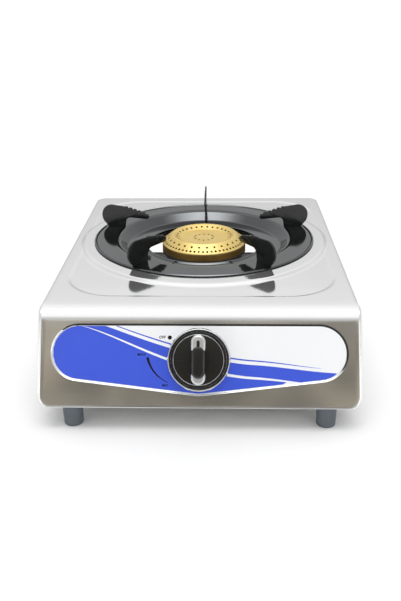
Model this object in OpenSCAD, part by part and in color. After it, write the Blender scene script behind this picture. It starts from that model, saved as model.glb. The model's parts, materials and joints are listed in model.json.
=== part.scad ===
/* [Hob shell] */
// Width of the top beside the collar's foot, on each side
hob_side_rim = 7; // [5:0.5:14]
// Depth of the top behind the collar's foot
hob_back_rim = 29; // [24:1:40]
// Height of the flat top above the table
hob_top_z = 107; // [104:1:116]
// Thickness of the pressed sheet
sheet_t = 1; // [0.8:0.1:1.4]
// Lean of the front face back from upright, in degrees
front_lean = 28; // [26:1:30]
// Outer radius of the bend from the top to the front face
front_bend_r = 14; // [8:1:18]
// Outer radius of the bend from the top to the back wall
back_bend_r = 6; // [3:0.5:10]
// Outer radius of the bends from the top to the side walls
side_bend_r = 5; // [3:0.5:9]
// Outer radius of the bends from the side walls to the bottom flange
lower_bend_r = 10; // [6:0.5:11]
// Radius of the two back corners seen from above
back_corner_r = 14; // [8:1:22]
// Width of the bottom flange at the front and the back
end_flange_w = 36; // [34:1:44]
// Width of the bottom flange along the sides
side_flange_w = 20; // [18:1:24]
// Distance of the air opening in the back wall from each side
back_gap_side = 55; // [52:1:75]
// Height of the air opening in the back wall
back_gap_h = 17; // [12:1:22]
// Height of the wall left below the air opening
back_gap_sill = 2; // [2:0.5:4]

/* [Top pressing] */
// Width of the border left beside the sunk panel
panel_side = 16; // [12:0.5:20]
// Width of the border left behind the sunk panel
panel_back = 21; // [18:0.5:26]
// Distance from the front bottom edge to the front line of the sunk panel
panel_front = 71; // [68:1:76]
// How far the panel is sunk below the top
panel_sink = 2; // [1:0.25:3]
// Corner radius of the sunk panel
panel_r = 50; // [30:1:60]
// Distance from the front line of the sunk panel to the collar's foot
panel_lead = 24; // [20:0.5:28]
// How far the dish's flange laps over the edge of the well
well_lap = 7.5; // [5:0.5:10]
// Height of the raised collar round the well, above the sunk panel
collar_rise = 4; // [3:0.25:6]
// Width of the collar's flat outside the dish
collar_edge = 10.5; // [6:0.5:14]
// Width of the collar's sloping foot
collar_slope = 6; // [4:0.5:9]
// Depth of the hem turned down round the well
hem_h = 5; // [3:0.5:7]

/* [Drip dish] */
// Outer radius of the dish
dish_r = 126.5; // [124:0.5:130]
// Thickness of the dish's sheet
dish_t = 1; // [0.8:0.1:1.4]
// Width of the dish's flat flange
dish_flange_w = 28.5; // [26:0.5:31]
// Width of the dish's sloping wall
dish_slope_w = 10; // [7:0.5:13]
// Depth of the dish's floor below its flange
dish_depth = 10; // [8:0.5:12]
// Gap between the burner's cap and the edge of the dish's hole
dish_gap = 17; // [14:0.5:20]
// Height of the rolled bead on the dish's outer edge, above its flange
dish_bead_h = 1.3; // [0.8:0.1:2]
// Width of the beads on the dish's outer and inner edges
dish_bead_w = 2; // [1.5:0.1:3]
// Radius of the two drain holes in the dish's floor
drain_r = 1.5; // [1:0.1:2]

/* [Pan support] */
// Thickness of the prongs' plate
prong_t = 2.2; // [1.6:0.1:3]
// Height of the prongs above the dish's flange
prong_h = 27; // [24:0.5:32]
// How far the prongs' tips stop short of the dish's hole
prong_tip_gap = 3.5; // [0:0.5:9]
// How far the prongs' round shoulders reach past the dish's edge
prong_overhang = 2.5; // [0.5:0.5:5]
// Radius of the prongs' round shoulders
shoulder_r = 13.5; // [11:0.5:15]
// Radius of the curve under each prong's arm
arm_curve_r = 9; // [7:0.5:10]
// Height of the prong's tip below its shoulder
tip_drop = 7; // [5:0.5:9]
// Radius of the rounded tip
tip_r = 2.8; // [2:0.1:3.4]
// Where the foot of each prong starts, outwards from the flange's bend
prong_foot_gap = 1.5; // [1:0.5:5]
// Where the foot of each prong ends, inwards from the dish's edge
prong_foot_end = 5.5; // [4:0.5:9]
// Height of the teeth along the prongs' arms
tooth_h = 0.9; // [0.5:0.1:1.4]

/* [Burner] */
// Outer radius of the brass cap
cap_r = 48; // [45:0.5:50]
// Height of the cap's upright skirt
cap_skirt_h = 8.5; // [7:0.5:11]
// Height of the cap's bevel above its skirt
cap_bevel_h = 8.5; // [7:0.5:10]
// Width of the cap's bevel
cap_bevel_w = 11; // [9:0.5:13]
// Width of the cap's flat crest
cap_crest_w = 2; // [1:0.25:3]
// Width of the slope from the crest to the sunk plate
cap_dip_w = 8; // [6:0.5:10]
// How far the cap's plate is sunk below its crest
cap_plate_sink = 4.5; // [3:0.1:5.5]
// Wall of the cap
cap_wall = 2.4; // [2:0.1:3]
// Depth of the cap's spigot in the bowl
spigot_h = 4; // [3:0.5:6]
// Radius of the flame ports
port_r = 1; // [0.6:0.05:1.1]
// How far the bowl's rim lies below the top of the hob
burner_drop = 11; // [9:0.5:13]
// Height of the bowl
bowl_h = 30; // [28:0.5:34]
// How far the cap stands out over the bowl
bowl_step = 4; // [3.5:0.25:6]
// Wall of the cast bowl
bowl_wall = 3; // [2.5:0.1:3.5]
// Thickness of the bowl's rim
bowl_rim_t = 3; // [2:0.25:4]
// Height of the mixing tube's axis in the bowl, above its bottom
tube_entry_h = 15; // [14.5:0.25:16]
// Outer radius of the mixing tube
tube_r = 12; // [11:0.25:12.5]
// Bore radius of the mixing tube
tube_bore_r = 9; // [7.5:0.25:9.5]
// Length of the air shutter
shutter_len = 18; // [15:0.5:22]
// Wall of the air shutter
shutter_t = 1.5; // [1:0.1:2]
// Length of the shutter's finger tab
shutter_tab = 7; // [5:0.5:9]
// Length of the air windows along the tube
window_len = 10; // [6:0.5:12]
// Width of the air windows round the tube
window_w = 12; // [8:0.5:14]

/* [Burner rail] */
// Width of the rail that carries the burner
rail_w = 36; // [30:1:44]
// Thickness of the rail's strip
rail_t = 1.5; // [1.2:0.1:2]
// Distance between the two burner screws
burner_screw_pitch = 44; // [36:1:52]

/* [Valve] */
// Radius of the valve's body
valve_r = 13; // [12:0.25:14.5]
// Length of the valve's body
valve_len = 42; // [41:0.5:48]
// Width of the valve's mounting flange
valve_flange_w = 48; // [46:1:54]
// Height of the valve's mounting flange
valve_flange_h = 26; // [24:1:30]
// Thickness of the valve's mounting flange
valve_flange_t = 3; // [2:0.25:4]
// Distance of the valve screws from the ends of the mounting flange
valve_screw_edge = 7; // [6.5:0.25:7.5]
// Depth of the gas outlet's axis behind the front face
outlet_depth = 32; // [30:0.5:34]
// Depth of the gas inlet's axis behind the front face
inlet_depth = 26; // [24:0.5:28]
// Length of the outlet arm from the valve's axis
arm_len = 27; // [25:0.5:30]
// Radius of the outlet arm
arm_r = 6.5; // [6:0.25:7]
// Length of the inlet boss from the valve's axis
boss_len = 30; // [27:0.5:36]
// Radius of the inlet boss
boss_r = 7; // [6.5:0.25:8]
// Radius of the stem
stem_r = 4; // [3.5:0.1:4.3]
// Depth of the stem's flat, measured from its round side
stem_flat = 1.2; // [0.8:0.1:1.6]
// Thickness of the valve's bonnet
bonnet_t = 4; // [3:0.25:5]
// Radius of the valve's bonnet
bonnet_r = 10; // [9.5:0.25:10.5]
// Length of the return spring at rest
spring_len = 10; // [9:0.5:11]
// Radius of the spring's wire
spring_wire_r = 0.6; // [0.4:0.05:0.65]
// Length of the valve's plug
plug_len = 20; // [18:0.5:21]
// Radius of the plug at its wide end
plug_r = 8; // [7.5:0.1:8.3]
// Radius of the plug at its narrow end
plug_end_r = 7; // [6.5:0.1:7.4]
// Bore radius of the gas passages
gas_bore_r = 2.5; // [1.5:0.1:3]

/* [Injector] */
// Distance across the flats of the injector's hexagon
injector_af = 11; // [10:0.5:13]
// Height of the injector's hexagon
injector_hex_h = 5; // [4:0.5:7]
// Radius of the injector's nose
injector_nose_r = 4.5; // [4:0.25:5]
// Length of the injector's nose
injector_nose_len = 9; // [7:0.5:11]
// Radius of the injector's jet hole
jet_r = 0.5; // [0.3:0.05:0.8]

/* [Igniter] */
// Width of the piezo igniter's block
piezo_w = 14; // [12:0.5:17]
// Height of the piezo igniter's block
piezo_h = 16; // [13:0.5:20]
// Length of the piezo igniter's block
piezo_len = 36; // [30:0.5:40]
// Distance of the spark electrode's wire from the cap's skirt
electrode_gap = 8; // [6.5:0.25:10]
// Radius of the electrode's wire
electrode_r = 1; // [0.7:0.05:1.2]
// Radius of the electrode's ceramic sleeve
sleeve_r = 3; // [2.5:0.1:3.5]
// Radius of the ignition lead
lead_r = 1.5; // [1:0.1:2]

/* [Knob] */
// Distance of the knob's axis up the front face from its bottom edge
knob_up = 44.5; // [43:0.5:46]
// Outer radius of the knob
knob_r = 25.5; // [25:0.25:27]
// Height of the knob's skirt
knob_skirt_h = 9; // [8:0.5:12]
// Wall of the knob's skirt
knob_wall = 3; // [2:0.25:3.25]
// Width of the knob's bevelled edge
knob_bevel = 1.8; // [1:0.1:2]
// Width of the grip bar
grip_w = 13; // [11:0.5:15]
// How far the grip bar's ends stay inside the knob's edge
grip_inset = 3; // [2.5:0.25:5]
// Height of the grip bar above the knob's face
grip_h = 11; // [8:0.5:14]
// Length of the bright inserts in the grip's ends
insert_len = 12; // [8:0.5:15]
// How far the bright ring lies inside the knob's edge
ring_inset = 2.6; // [2.4:0.1:2.9]
// Width of the bright ring
ring_w = 0.8; // [0.5:0.1:1]
// How far the knob is pressed in to light the burner
push_travel = 4; // [3:0.25:5]
// Width of the bezel round the knob
bezel_w = 3.2; // [2.4:0.1:5]
// Height of the bezel
bezel_h = 4.6; // [3:0.2:5.6]

/* [Control label] */
// Distance of the centres of the label's end arcs from the shell's sides
label_side = 39.4; // [36:0.2:44]
// How far the label's end arcs lie above the knob's axis
label_rise = 6.5; // [6:0.25:7.5]
// Radius of the recess at the label's ends
label_end_r = 25.4; // [25:0.2:26]
// Depth of the recess pressed in the front face
label_sink = 1.2; // [0.8:0.1:2]
// Thickness of the label
label_t = 0.4; // [0.2:0.1:0.7]
// Gap between the label and the edge of its recess
label_gap = 1.6; // [0.6:0.1:2]

/* [Gas inlet] */
// Distance of the gas pipe from the shell's side
pipe_side = 32; // [28:0.5:36]
// Outer radius of the gas pipe
pipe_r = 4.5; // [4:0.25:5]
// Wall of the gas pipe
pipe_wall = 1; // [0.6:0.1:1.4]
// Bend radius of the gas pipe
pipe_bend_r = 18; // [14:0.5:24]
// Distance across the flats of the pipe's nut
pipe_nut_af = 18; // [17.5:0.5:21]
// Land radius of the hose nozzle
nozzle_r = 4.75; // [4.5:0.05:5.5]
// Length of the hose nozzle's grooved end
nozzle_len = 22; // [18:1:28]
// Bore radius of the hose nozzle
nozzle_bore_r = 3; // [2:0.1:3.5]
// Radius of the nozzle's neck through the back wall
neck_r = 6; // [5.8:0.1:7]
// Distance across the flats of the nozzle's hexagon and of its nut
nozzle_af = 17; // [16:0.5:20]
// Thickness of the nozzle's nut
nozzle_nut_t = 5; // [4:0.5:7]

/* [Feet and screws] */
// Height of the feet, which is the height of the shell's bottom edge
foot_h = 25; // [20:1:30]
// Radius of a foot at its top
foot_r = 9.8; // [8.5:0.1:11]
// Radius of a foot at the table
foot_tread_r = 9; // [8:0.1:10]
// Distance of the feet from the shell's sides
foot_side = 31; // [26:0.5:35]
// Distance of the front feet from the front bottom edge
foot_front = 16; // [14:0.5:20]
// Distance of the back feet from the back wall
foot_back = 20; // [16:0.5:22]
// Radius of the main screws' shanks
screw_r = 2; // [1.6:0.1:2.2]
// Radius of the main screws' heads
screw_head_r = 3.4; // [3:0.1:3.6]
// Height of the main screws' heads
screw_head_h = 2.4; // [1.8:0.1:3]
// Radial clearance of a screw in its hole
screw_clear = 0.2; // [0.1:0.05:0.4]
// Radial clearance of a turning or sliding fit
fit_clear = 0.1; // [0.05:0.01:0.1]
// Loose clearance between pieces that move past each other
loose_clear = 0.3; // [0.2:0.05:0.5]

/* [Hidden] */
$fn = 72;

steel_colour = "gainsboro";
dark_steel_colour = "dimgray";
enamel_colour = "#1c1c1c";
brass_colour = "#c9a24b";
iron_colour = "#45464a";
plastic_colour = "#18181a";
chrome_colour = "#d9dce0";
label_colour = "#4a66dc";
rubber_colour = "#5c6268";
ceramic_colour = "#efece2";
lead_colour = "firebrick";

// Five prongs share the circle, the first one square to the front at the back
prong_count = 5;
prong_first_az = 90;
tooth_count = 6;
// Flat land behind the shoulder, and how far the prong's neck leans in over its foot
land_w = 18;
neck_in = 2;
// Flame ports in the four rings of the cap, from the outermost ring inwards
port_counts = [60, 30, 30, 12];
// How far in on the bevel the two outer rings of ports are, as shares of its width
lower_ring_in = 0.25;
upper_ring_in = 0.65;
spring_turns = 5;
nozzle_grooves = 4;
groove_depth = 0.5;
label_arc_steps = 24;
// Overlap that makes a cut pass right through
cut = 1;

// Radii round the burner, from the cap outwards
cap_crest_r = cap_r - cap_bevel_w;
cap_plate_r = cap_crest_r - cap_crest_w - cap_dip_w;
bowl_r = cap_r - bowl_step;
electrode_out = cap_r + electrode_gap;
dish_hole_r = cap_r + dish_gap;
dish_bend_r = dish_r - dish_flange_w;
dish_foot_r = dish_bend_r - dish_slope_w;
well_r = dish_r - well_lap;
collar_flat_r = dish_r + collar_edge;
collar_foot_r = collar_flat_r + collar_slope;

// The shell goes round the collar
hob_w = 2 * (collar_foot_r + hob_side_rim);
burner_back = panel_front + panel_lead + collar_foot_r;
hob_d = burner_back + collar_foot_r + hob_back_rim;
panel_w = hob_w - 2 * panel_side;
panel_d = hob_d - panel_front - panel_back;
back_gap_w = hob_w - 2 * back_gap_side;
pipe_x = hob_w / 2 - pipe_side;
foot_x = hob_w / 2 - foot_side;

// The front's label, knob and valve
label_end_x = hob_w / 2 - label_side;
label_end_up = knob_up + label_rise;
ring_r = knob_r - ring_inset;
grip_len = 2 * (knob_r - grip_inset);
bezel_r = knob_r + 2 * loose_clear + bezel_w;
valve_screw_pitch = valve_flange_w - 2 * valve_screw_edge;
knob_roof_t = 2.5;
hub_wall = 3;

// Heights
bottom_z = foot_h;
flange_z = bottom_z + sheet_t;
panel_z = hob_top_z - panel_sink;
collar_z = panel_z + collar_rise;
dish_z = collar_z + dish_t;
floor_z = dish_z - dish_depth;
bowl_rim_z = hob_top_z - burner_drop;
bowl_z = bowl_rim_z - bowl_h;

// Depths behind the front face along the knob's axis, outwards positive
label_w = label_t - label_sink;
wall_w = -label_sink - sheet_t;
knob_w = label_w + push_travel + loose_clear;
face_w = knob_w + knob_skirt_h;
grip_top_w = face_w + grip_h;
stem_collar_t = 1.5;
stem_collar_r = stem_r + hub_wall;
stem_collar_w = wall_w - bonnet_t - loose_clear;
spring_top_w = stem_collar_w - stem_collar_t;
plug_w = spring_top_w - spring_len;
stem_engage = 8;
stem_end_w = plug_w - stem_engage;
stem_top_w = face_w + grip_h / 3;
screw_tail = 3;
chamber_wall = 0.6;
injector_root_r = injector_nose_r - 0.5;
jet_wall = 2;
piezo_front_w = wall_w - valve_flange_t - screw_tail - loose_clear;
piezo_x = valve_r + 1.5;
piezo_tail = 4;

// The part is centred on its own box: the grip reaches past the front, the nozzle past the back
front_reach = grip_top_w * cos(front_lean) - (knob_up - grip_len / 2) * sin(front_lean);
back_reach = nozzle_nut_t + nozzle_len;
front_y = front_reach - (front_reach + hob_d + back_reach) / 2;
back_y = front_y + hob_d;
burner_y = front_y + burner_back;
panel_y = front_y + panel_front;

// The mixing tube's axis runs from the valve's outlet to the burner's centre line
outlet = [0, front_y + knob_up * sin(front_lean) + outlet_depth * cos(front_lean),
    bottom_z + knob_up * cos(front_lean) - outlet_depth * sin(front_lean)];
tube_goal = [0, burner_y, bowl_z + tube_entry_h];
tube_run = norm(tube_goal - outlet);
tube_tilt = atan2(tube_goal[2] - outlet[2], tube_goal[1] - outlet[1]);
mouth_gap = 1.5;
mouth_wall = 3;
tube_start = arm_len + injector_hex_h + mouth_gap;
stop_t = 2;
stop_r = tube_r + 2.5;
shutter_start = tube_start + stop_t + loose_clear;
shutter_end = shutter_start + shutter_len;
window_start = shutter_start + (shutter_len - window_len) / 2;

// The gas pipe's axis passes through the valve's inlet
inlet_y = front_y + knob_up * sin(front_lean) + inlet_depth * cos(front_lean);
inlet_z = bottom_z + knob_up * cos(front_lean) - inlet_depth * sin(front_lean);
pipe_grip = 5;
nozzle_hex_h = 8;
nozzle_seat_y = back_y - sheet_t;
pipe_end_y = nozzle_seat_y - nozzle_hex_h + pipe_grip;

// Screw places
rail_end_x = hob_w / 2 - lower_bend_r;
rail_screw_x = hob_w / 2 - (lower_bend_r + side_flange_w) / 2;
rail_leg_x = bowl_r + 2 * rail_t;
foot_spots = [[-foot_x, front_y + foot_front], [foot_x, front_y + foot_front],
    [-foot_x, back_y - foot_back], [foot_x, back_y - foot_back]];
foot_recess = 8;
foot_edge = 1;
foot_nut_t = 3.2;
foot_nut_wall = 1.5;
foot_nut_af = 2 * (screw_r + foot_nut_wall);

// The electrode hangs from a lug on the bowl, behind the burner
lug_w = 12;
lug_h = 6;
lug_out = 6;
lug_drop = 8;
lug_z = bowl_rim_z - bowl_rim_t - lug_drop;
clip_t = 1.5;
clip_edge = 2;
clip_screw_r = 1.5;
clip_screw_y = burner_y + bowl_r + lug_out / 2;
sleeve_below = 11;
sleeve_above = 14;
wire_below = 4;
spark_rise = 2;
spark_z = bowl_rim_z + cap_skirt_h + spark_rise;
spark_gap = 2.5;
electrode_y = burner_y + electrode_out;

function unit(v) = v / norm(v);

// Half of the angle at corner b between a and c
function half_turn(a, b, c) = acos(unit(a - b) * unit(c - b)) / 2;

function arc_centre(a, b, c, r) = b + unit(unit(a - b) + unit(c - b)) * r / sin(half_turn(a, b, c));

function arc_ends(a, b, c, r) = r > 0
    ? [for (p = [a, c]) b + unit(p - b) * r / tan(half_turn(a, b, c))]
    : [b];

function arc_points(centre, r, from, to, steps) =
    [for (i = [0:steps]) let (a = from + (to - from) * i / steps) centre + r * [cos(a), sin(a)]];

// A convex outline whose corners are rounded by true arcs
module rounded_outline(p, r) {
    n = len(p);
    polygon([for (i = [0:n - 1]) each arc_ends(p[(i + n - 1) % n], p[i], p[(i + 1) % n], r[i])]);
    for (i = [0:n - 1])
        if (r[i] > 0)
            translate(arc_centre(p[(i + n - 1) % n], p[i], p[(i + 1) % n], r[i])) circle(r = r[i]);
}

// A flat bar with two round ends, along Y
module slot_outline(width, length) {
    square([width, length - width], center = true);
    for (side = [-1, 1]) translate([0, side * (length - width) / 2]) circle(d = width);
}

module ring(outer, inner, h) {
    difference() {
        cylinder(r = outer, h = h);
        translate([0, 0, -cut]) cylinder(r = inner, h = h + 2 * cut);
    }
}

module hexagon(af, h) {
    cylinder(d = af / cos(30), h = h, $fn = 6);
}

// A tube swept along points, its sections square to the path; ref is never along the path
module swept_tube(path, r, sides, ref) {
    n = len(path);
    along = [for (i = [0:n - 1]) unit(path[min(i + 1, n - 1)] - path[max(i - 1, 0)])];
    across = [for (t = along) unit(cross(t, ref))];
    verts = [for (i = [0:n - 1], k = [0:sides - 1]) let (a = 360 * k / sides)
        path[i] + r * (cos(a) * across[i] + sin(a) * cross(along[i], across[i]))];
    walls = [for (i = [0:n - 2], k = [0:sides - 1], half = [0, 1])
        let (a = i * sides + k, b = i * sides + (k + 1) % sides)
        half == 0 ? [a, b + sides, b] : [a, a + sides, b + sides]];
    ends = [[for (k = [0:sides - 1]) k], [for (k = [sides - 1:-1:0]) (n - 1) * sides + k]];
    polyhedron(verts, concat(walls, ends));
}

// The front face: X to the right, Y up the slope, Z outwards
module on_front(x = 0, up = 0, w = 0) {
    translate([0, front_y, bottom_z]) rotate([90 - front_lean, 0, 0]) translate([x, up, w]) children();
}

module on_knob_axis(w = 0) {
    on_front(0, knob_up, w) children();
}

// The mixing tube: Z runs from the valve's outlet towards the burner
module on_tube(along = 0) {
    translate(outlet) rotate([tube_tilt - 90, 0, 0]) translate([0, 0, along]) children();
}

module on_burner(z = 0) {
    translate([0, burner_y, z]) children();
}

// A round-headed screw, its head's seat at the origin and its shank along +Z
module screw(r, head_r, head_h, len) {
    cylinder(r = r, h = len);
    difference() {
        translate([0, 0, -head_h]) cylinder(r = head_r, h = head_h);
        for (turn = [0, 90]) rotate([0, 0, turn])
            translate([-head_r * 0.6, -head_r * 0.13, -head_h - cut])
                cube([head_r * 1.2, head_r * 0.26, cut + head_h * 0.4]);
    }
}

// The shell's outside, or its inside where inset is the sheet's thickness
module hob_block(inset) {
    rise = hob_top_z - inset - bottom_z;
    lean_x = tan(front_lean);
    skin = inset / cos(front_lean);
    half_w = hob_w / 2 - inset;
    low = bottom_z + inset;
    high = hob_top_z - inset;
    intersection() {
        translate([-half_w, 0, 0]) rotate([90, 0, 90]) linear_extrude(2 * half_w)
            rounded_outline([[front_y + skin + inset * lean_x, low], [back_y - inset, low],
                [back_y - inset, high], [front_y + skin + rise * lean_x, high]],
                [0, 0, back_bend_r - inset, front_bend_r - inset]);
        translate([0, back_y, 0]) rotate([90, 0, 0]) linear_extrude(hob_d)
            rounded_outline([[-half_w, low], [half_w, low], [half_w, high], [-half_w, high]],
                [lower_bend_r - inset, lower_bend_r - inset, side_bend_r - inset, side_bend_r - inset]);
        linear_extrude(hob_top_z)
            rounded_outline([[-half_w, front_y], [half_w, front_y],
                [half_w, back_y - inset], [-half_w, back_y - inset]],
                [0, 0, back_corner_r - inset, back_corner_r - inset]);
    }
}

// The sunk panel's cut, grown by the sheet's thickness for the inside
module panel_cut(grow) {
    x = panel_w / 2 + grow;
    r = panel_r + grow;
    translate([0, 0, panel_z - grow]) linear_extrude(panel_sink + grow + cut)
        rounded_outline([[-x, panel_y - grow], [x, panel_y - grow],
            [x, panel_y + panel_d + grow], [-x, panel_y + panel_d + grow]], [r, r, r, r]);
}

// The raised collar as a filled disc, lowered by the sheet's thickness for the inside
module collar_disc(inset) {
    on_burner() rotate_extrude()
        polygon([[0, panel_z - sheet_t - cut], [collar_foot_r - inset, panel_z - sheet_t - cut],
            [collar_foot_r - inset / 2, panel_z - inset], [collar_flat_r - inset / 2, collar_z - inset],
            [0, collar_z - inset]]);
}

// The control label's outline: two end arcs and an arc round the knob, joined by straight edges
module label_outline(gap) {
    end = [label_end_x, label_end_up];
    mid = [0, knob_up];
    end_r = label_end_r - gap;
    mid_r = label_end_up + label_end_r - knob_up - gap;
    lean = atan2(end[1] - mid[1], end[0]) - acos((mid_r - end_r) / norm(end - mid));
    polygon(concat(arc_points(end, end_r, lean, 90, label_arc_steps),
        arc_points([-end[0], end[1]], end_r, 90, 180 - lean, label_arc_steps),
        arc_points(mid, mid_r, 180 - lean, 360 + lean, label_arc_steps / 4)));
}

module valve_holes(h) {
    on_knob_axis(wall_w - cut) cylinder(r = stem_r + 2, h = h);
    for (x = [-1, 1])
        on_front(x * valve_screw_pitch / 2, knob_up, wall_w - cut)
            cylinder(r = screw_r + screw_clear, h = h);
}

module hob_shell() color(steel_colour) difference() {
    union() {
        difference() {
            union() {
                difference() {
                    hob_block(0);
                    panel_cut(0);
                    on_front(0, 0, -label_sink) linear_extrude(label_sink + cut) label_outline(0);
                }
                collar_disc(0);
            }
            difference() {
                hob_block(sheet_t);
                panel_cut(sheet_t);
                on_front(0, 0, wall_w) linear_extrude(label_sink + sheet_t + cut) label_outline(-sheet_t);
            }
            collar_disc(sheet_t);
            on_burner(bowl_z) cylinder(r = well_r, h = hob_top_z);
        }
        on_burner(collar_z - sheet_t - hem_h) ring(well_r + sheet_t, well_r, hem_h + sheet_t / 2);
    }
    bottom_x = hob_w / 2 - side_flange_w;
    translate([-bottom_x, front_y + end_flange_w, bottom_z - cut])
        cube([2 * bottom_x, hob_d - 2 * end_flange_w, sheet_t + 2 * cut]);
    translate([-back_gap_w / 2, back_y - sheet_t - cut, bottom_z + back_gap_sill])
        cube([back_gap_w, sheet_t + 2 * cut, back_gap_h]);
    valve_holes(label_sink + sheet_t + 2 * cut);
    translate([-pipe_x, back_y - sheet_t - cut, inlet_z]) rotate([-90, 0, 0])
        cylinder(r = neck_r + screw_clear, h = sheet_t + 2 * cut);
    for (p = foot_spots) translate([p[0], p[1], bottom_z - cut])
        cylinder(r = screw_r + screw_clear, h = sheet_t + 2 * cut);
    for (x = [-1, 1]) translate([x * rail_screw_x, burner_y, bottom_z - cut])
        cylinder(r = screw_r + screw_clear, h = sheet_t + 2 * cut);
}

module control_label() color(label_colour) difference() {
    on_front(0, 0, -label_sink) linear_extrude(label_t) label_outline(label_gap);
    valve_holes(label_sink + sheet_t + 2 * cut);
}

module knob_bezel() color(chrome_colour)
    on_knob_axis(label_w) ring(bezel_r, knob_r + 2 * loose_clear, bezel_h);

// The stem's section: round with one flat
module stem_outline(grow) {
    intersection() {
        circle(r = stem_r + grow);
        translate([-2 * stem_r, -2 * stem_r]) square([3 * stem_r - stem_flat + grow, 4 * stem_r]);
    }
}

module knob() color(plastic_colour) on_knob_axis() difference() {
    roof = knob_skirt_h - knob_roof_t;
    union() {
        translate([0, 0, knob_w]) rotate_extrude()
            polygon([[0, roof], [knob_r - knob_wall, roof], [knob_r - knob_wall, 0], [knob_r, 0],
                [knob_r, knob_skirt_h - knob_bevel], [knob_r - knob_bevel, knob_skirt_h],
                [0, knob_skirt_h]]);
        translate([0, 0, knob_w + push_travel])
            cylinder(r = stem_r + hub_wall, h = knob_skirt_h - push_travel);
        translate([0, 0, face_w - cut]) linear_extrude(grip_h + cut) slot_outline(grip_w, grip_len);
    }
    translate([0, 0, knob_w]) linear_extrude(stem_top_w - knob_w) stem_outline(fit_clear);
    translate([0, 0, face_w - ring_w]) ring(ring_r + ring_w / 2, ring_r - ring_w / 2, grip_h + ring_w + cut);
    grip_ends();
}

// The upper half of the grip's two ends
module grip_ends() {
    for (side = [-1, 1])
        translate([0, 0, face_w + grip_h / 2]) linear_extrude(grip_h / 2) intersection() {
            slot_outline(grip_w, grip_len);
            translate([0, side * (grip_len - insert_len) / 2]) square([grip_w, insert_len], center = true);
        }
}

module knob_ring() color(chrome_colour) on_knob_axis(face_w - ring_w) difference() {
    ring(ring_r + ring_w / 2, ring_r - ring_w / 2, 1.25 * ring_w);
    linear_extrude(2 * ring_w) slot_outline(grip_w, grip_len);
}

module grip_inserts() color(chrome_colour) on_knob_axis() difference() {
    grip_ends();
    translate([0, 0, face_w]) ring(ring_r + ring_w / 2, ring_r - ring_w / 2, grip_h + cut);
}

module valve_body() color(brass_colour) difference() {
    union() {
        on_knob_axis(wall_w - valve_flange_t) linear_extrude(valve_flange_t)
            square([valve_flange_w, valve_flange_h], center = true);
        on_knob_axis(wall_w - valve_len) cylinder(r = valve_r, h = valve_len);
        on_knob_axis(wall_w - valve_len / 2 - lug_h) translate([0, -lug_w / 2, 0])
            cube([piezo_x, lug_w, lug_h]);
        on_knob_axis(-inlet_depth) rotate([0, -90, 0]) cylinder(r = boss_r, h = boss_len);
        on_tube() cylinder(r = arm_r, h = arm_len);
    }
    on_knob_axis(wall_w - bonnet_t) cylinder(r = bonnet_r, h = bonnet_t + cut);
    on_knob_axis(plug_w) cylinder(r = plug_r + fit_clear + chamber_wall, h = wall_w - plug_w);
    on_knob_axis(plug_w - plug_len - loose_clear)
        cylinder(r1 = plug_end_r + fit_clear, r2 = plug_r + fit_clear, h = plug_len + loose_clear);
    on_knob_axis(-inlet_depth) rotate([0, -90, 0]) cylinder(r = gas_bore_r, h = boss_len + cut);
    on_knob_axis(-inlet_depth) translate([-boss_len - cut, 0, 0]) rotate([0, 90, 0])
        cylinder(r = pipe_r, h = pipe_grip + cut);
    on_tube() cylinder(r = gas_bore_r, h = arm_len + cut);
    on_tube(arm_len - injector_nose_len) cylinder(r = injector_root_r, h = injector_nose_len + cut);
    for (x = [-1, 1])
        on_front(x * valve_screw_pitch / 2, knob_up, wall_w - valve_flange_t - cut)
            cylinder(r = screw_r, h = valve_flange_t + 2 * cut);
}

module valve_bonnet() color(steel_colour)
    on_knob_axis(wall_w - bonnet_t) ring(bonnet_r, stem_r + loose_clear, bonnet_t);

module valve_plug() color(brass_colour) difference() {
    on_knob_axis(plug_w - plug_len) cylinder(r1 = plug_end_r, r2 = plug_r, h = plug_len);
    on_knob_axis(stem_end_w - push_travel - cut)
        linear_extrude(stem_engage + push_travel + 2 * cut) stem_outline(fit_clear);
    on_knob_axis(-inlet_depth) rotate([0, -90, 0]) cylinder(r = gas_bore_r, h = plug_r + cut);
    on_tube() cylinder(r = gas_bore_r, h = plug_r + 2 * cut);
}

module valve_stem() color(steel_colour) on_knob_axis() {
    translate([0, 0, stem_end_w]) linear_extrude(stem_top_w - stem_end_w) stem_outline(0);
    translate([0, 0, spring_top_w]) cylinder(r = stem_collar_r, h = stem_collar_t);
}

// A coil spring round the stem, between the plug and the stem's collar
module stem_spring() color(steel_colour) on_knob_axis() {
    coil_r = stem_r + loose_clear + 2 * spring_wire_r;
    low = plug_w + spring_wire_r + fit_clear;
    span = spring_len - 2 * spring_wire_r - 2 * fit_clear;
    rings = 14 * spring_turns;
    swept_tube([for (i = [0:rings]) let (a = 360 * spring_turns * i / rings)
        [coil_r * cos(a), coil_r * sin(a), low + span * i / rings]], spring_wire_r, 6, [0, 0, 1]);
}

module valve_screws() color(steel_colour)
    for (x = [-1, 1]) on_front(x * valve_screw_pitch / 2, knob_up, label_w) rotate([180, 0, 0])
        screw(screw_r, screw_head_r, screw_head_h, label_w - wall_w + valve_flange_t + screw_tail);

module injector() color(brass_colour) on_tube() difference() {
    union() {
        translate([0, 0, arm_len - injector_nose_len / 2])
            cylinder(r = injector_root_r, h = injector_nose_len / 2);
        translate([0, 0, arm_len]) hexagon(injector_af, injector_hex_h);
        translate([0, 0, arm_len + injector_hex_h]) cylinder(r = injector_nose_r, h = injector_nose_len);
    }
    cylinder(r = gas_bore_r, h = arm_len + injector_hex_h + injector_nose_len - jet_wall);
    cylinder(r = jet_r, h = tube_run);
}

module gas_pipe() color(steel_colour) difference() {
    pipe_solid(pipe_r);
    pipe_solid(pipe_r - pipe_wall);
}

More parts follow.
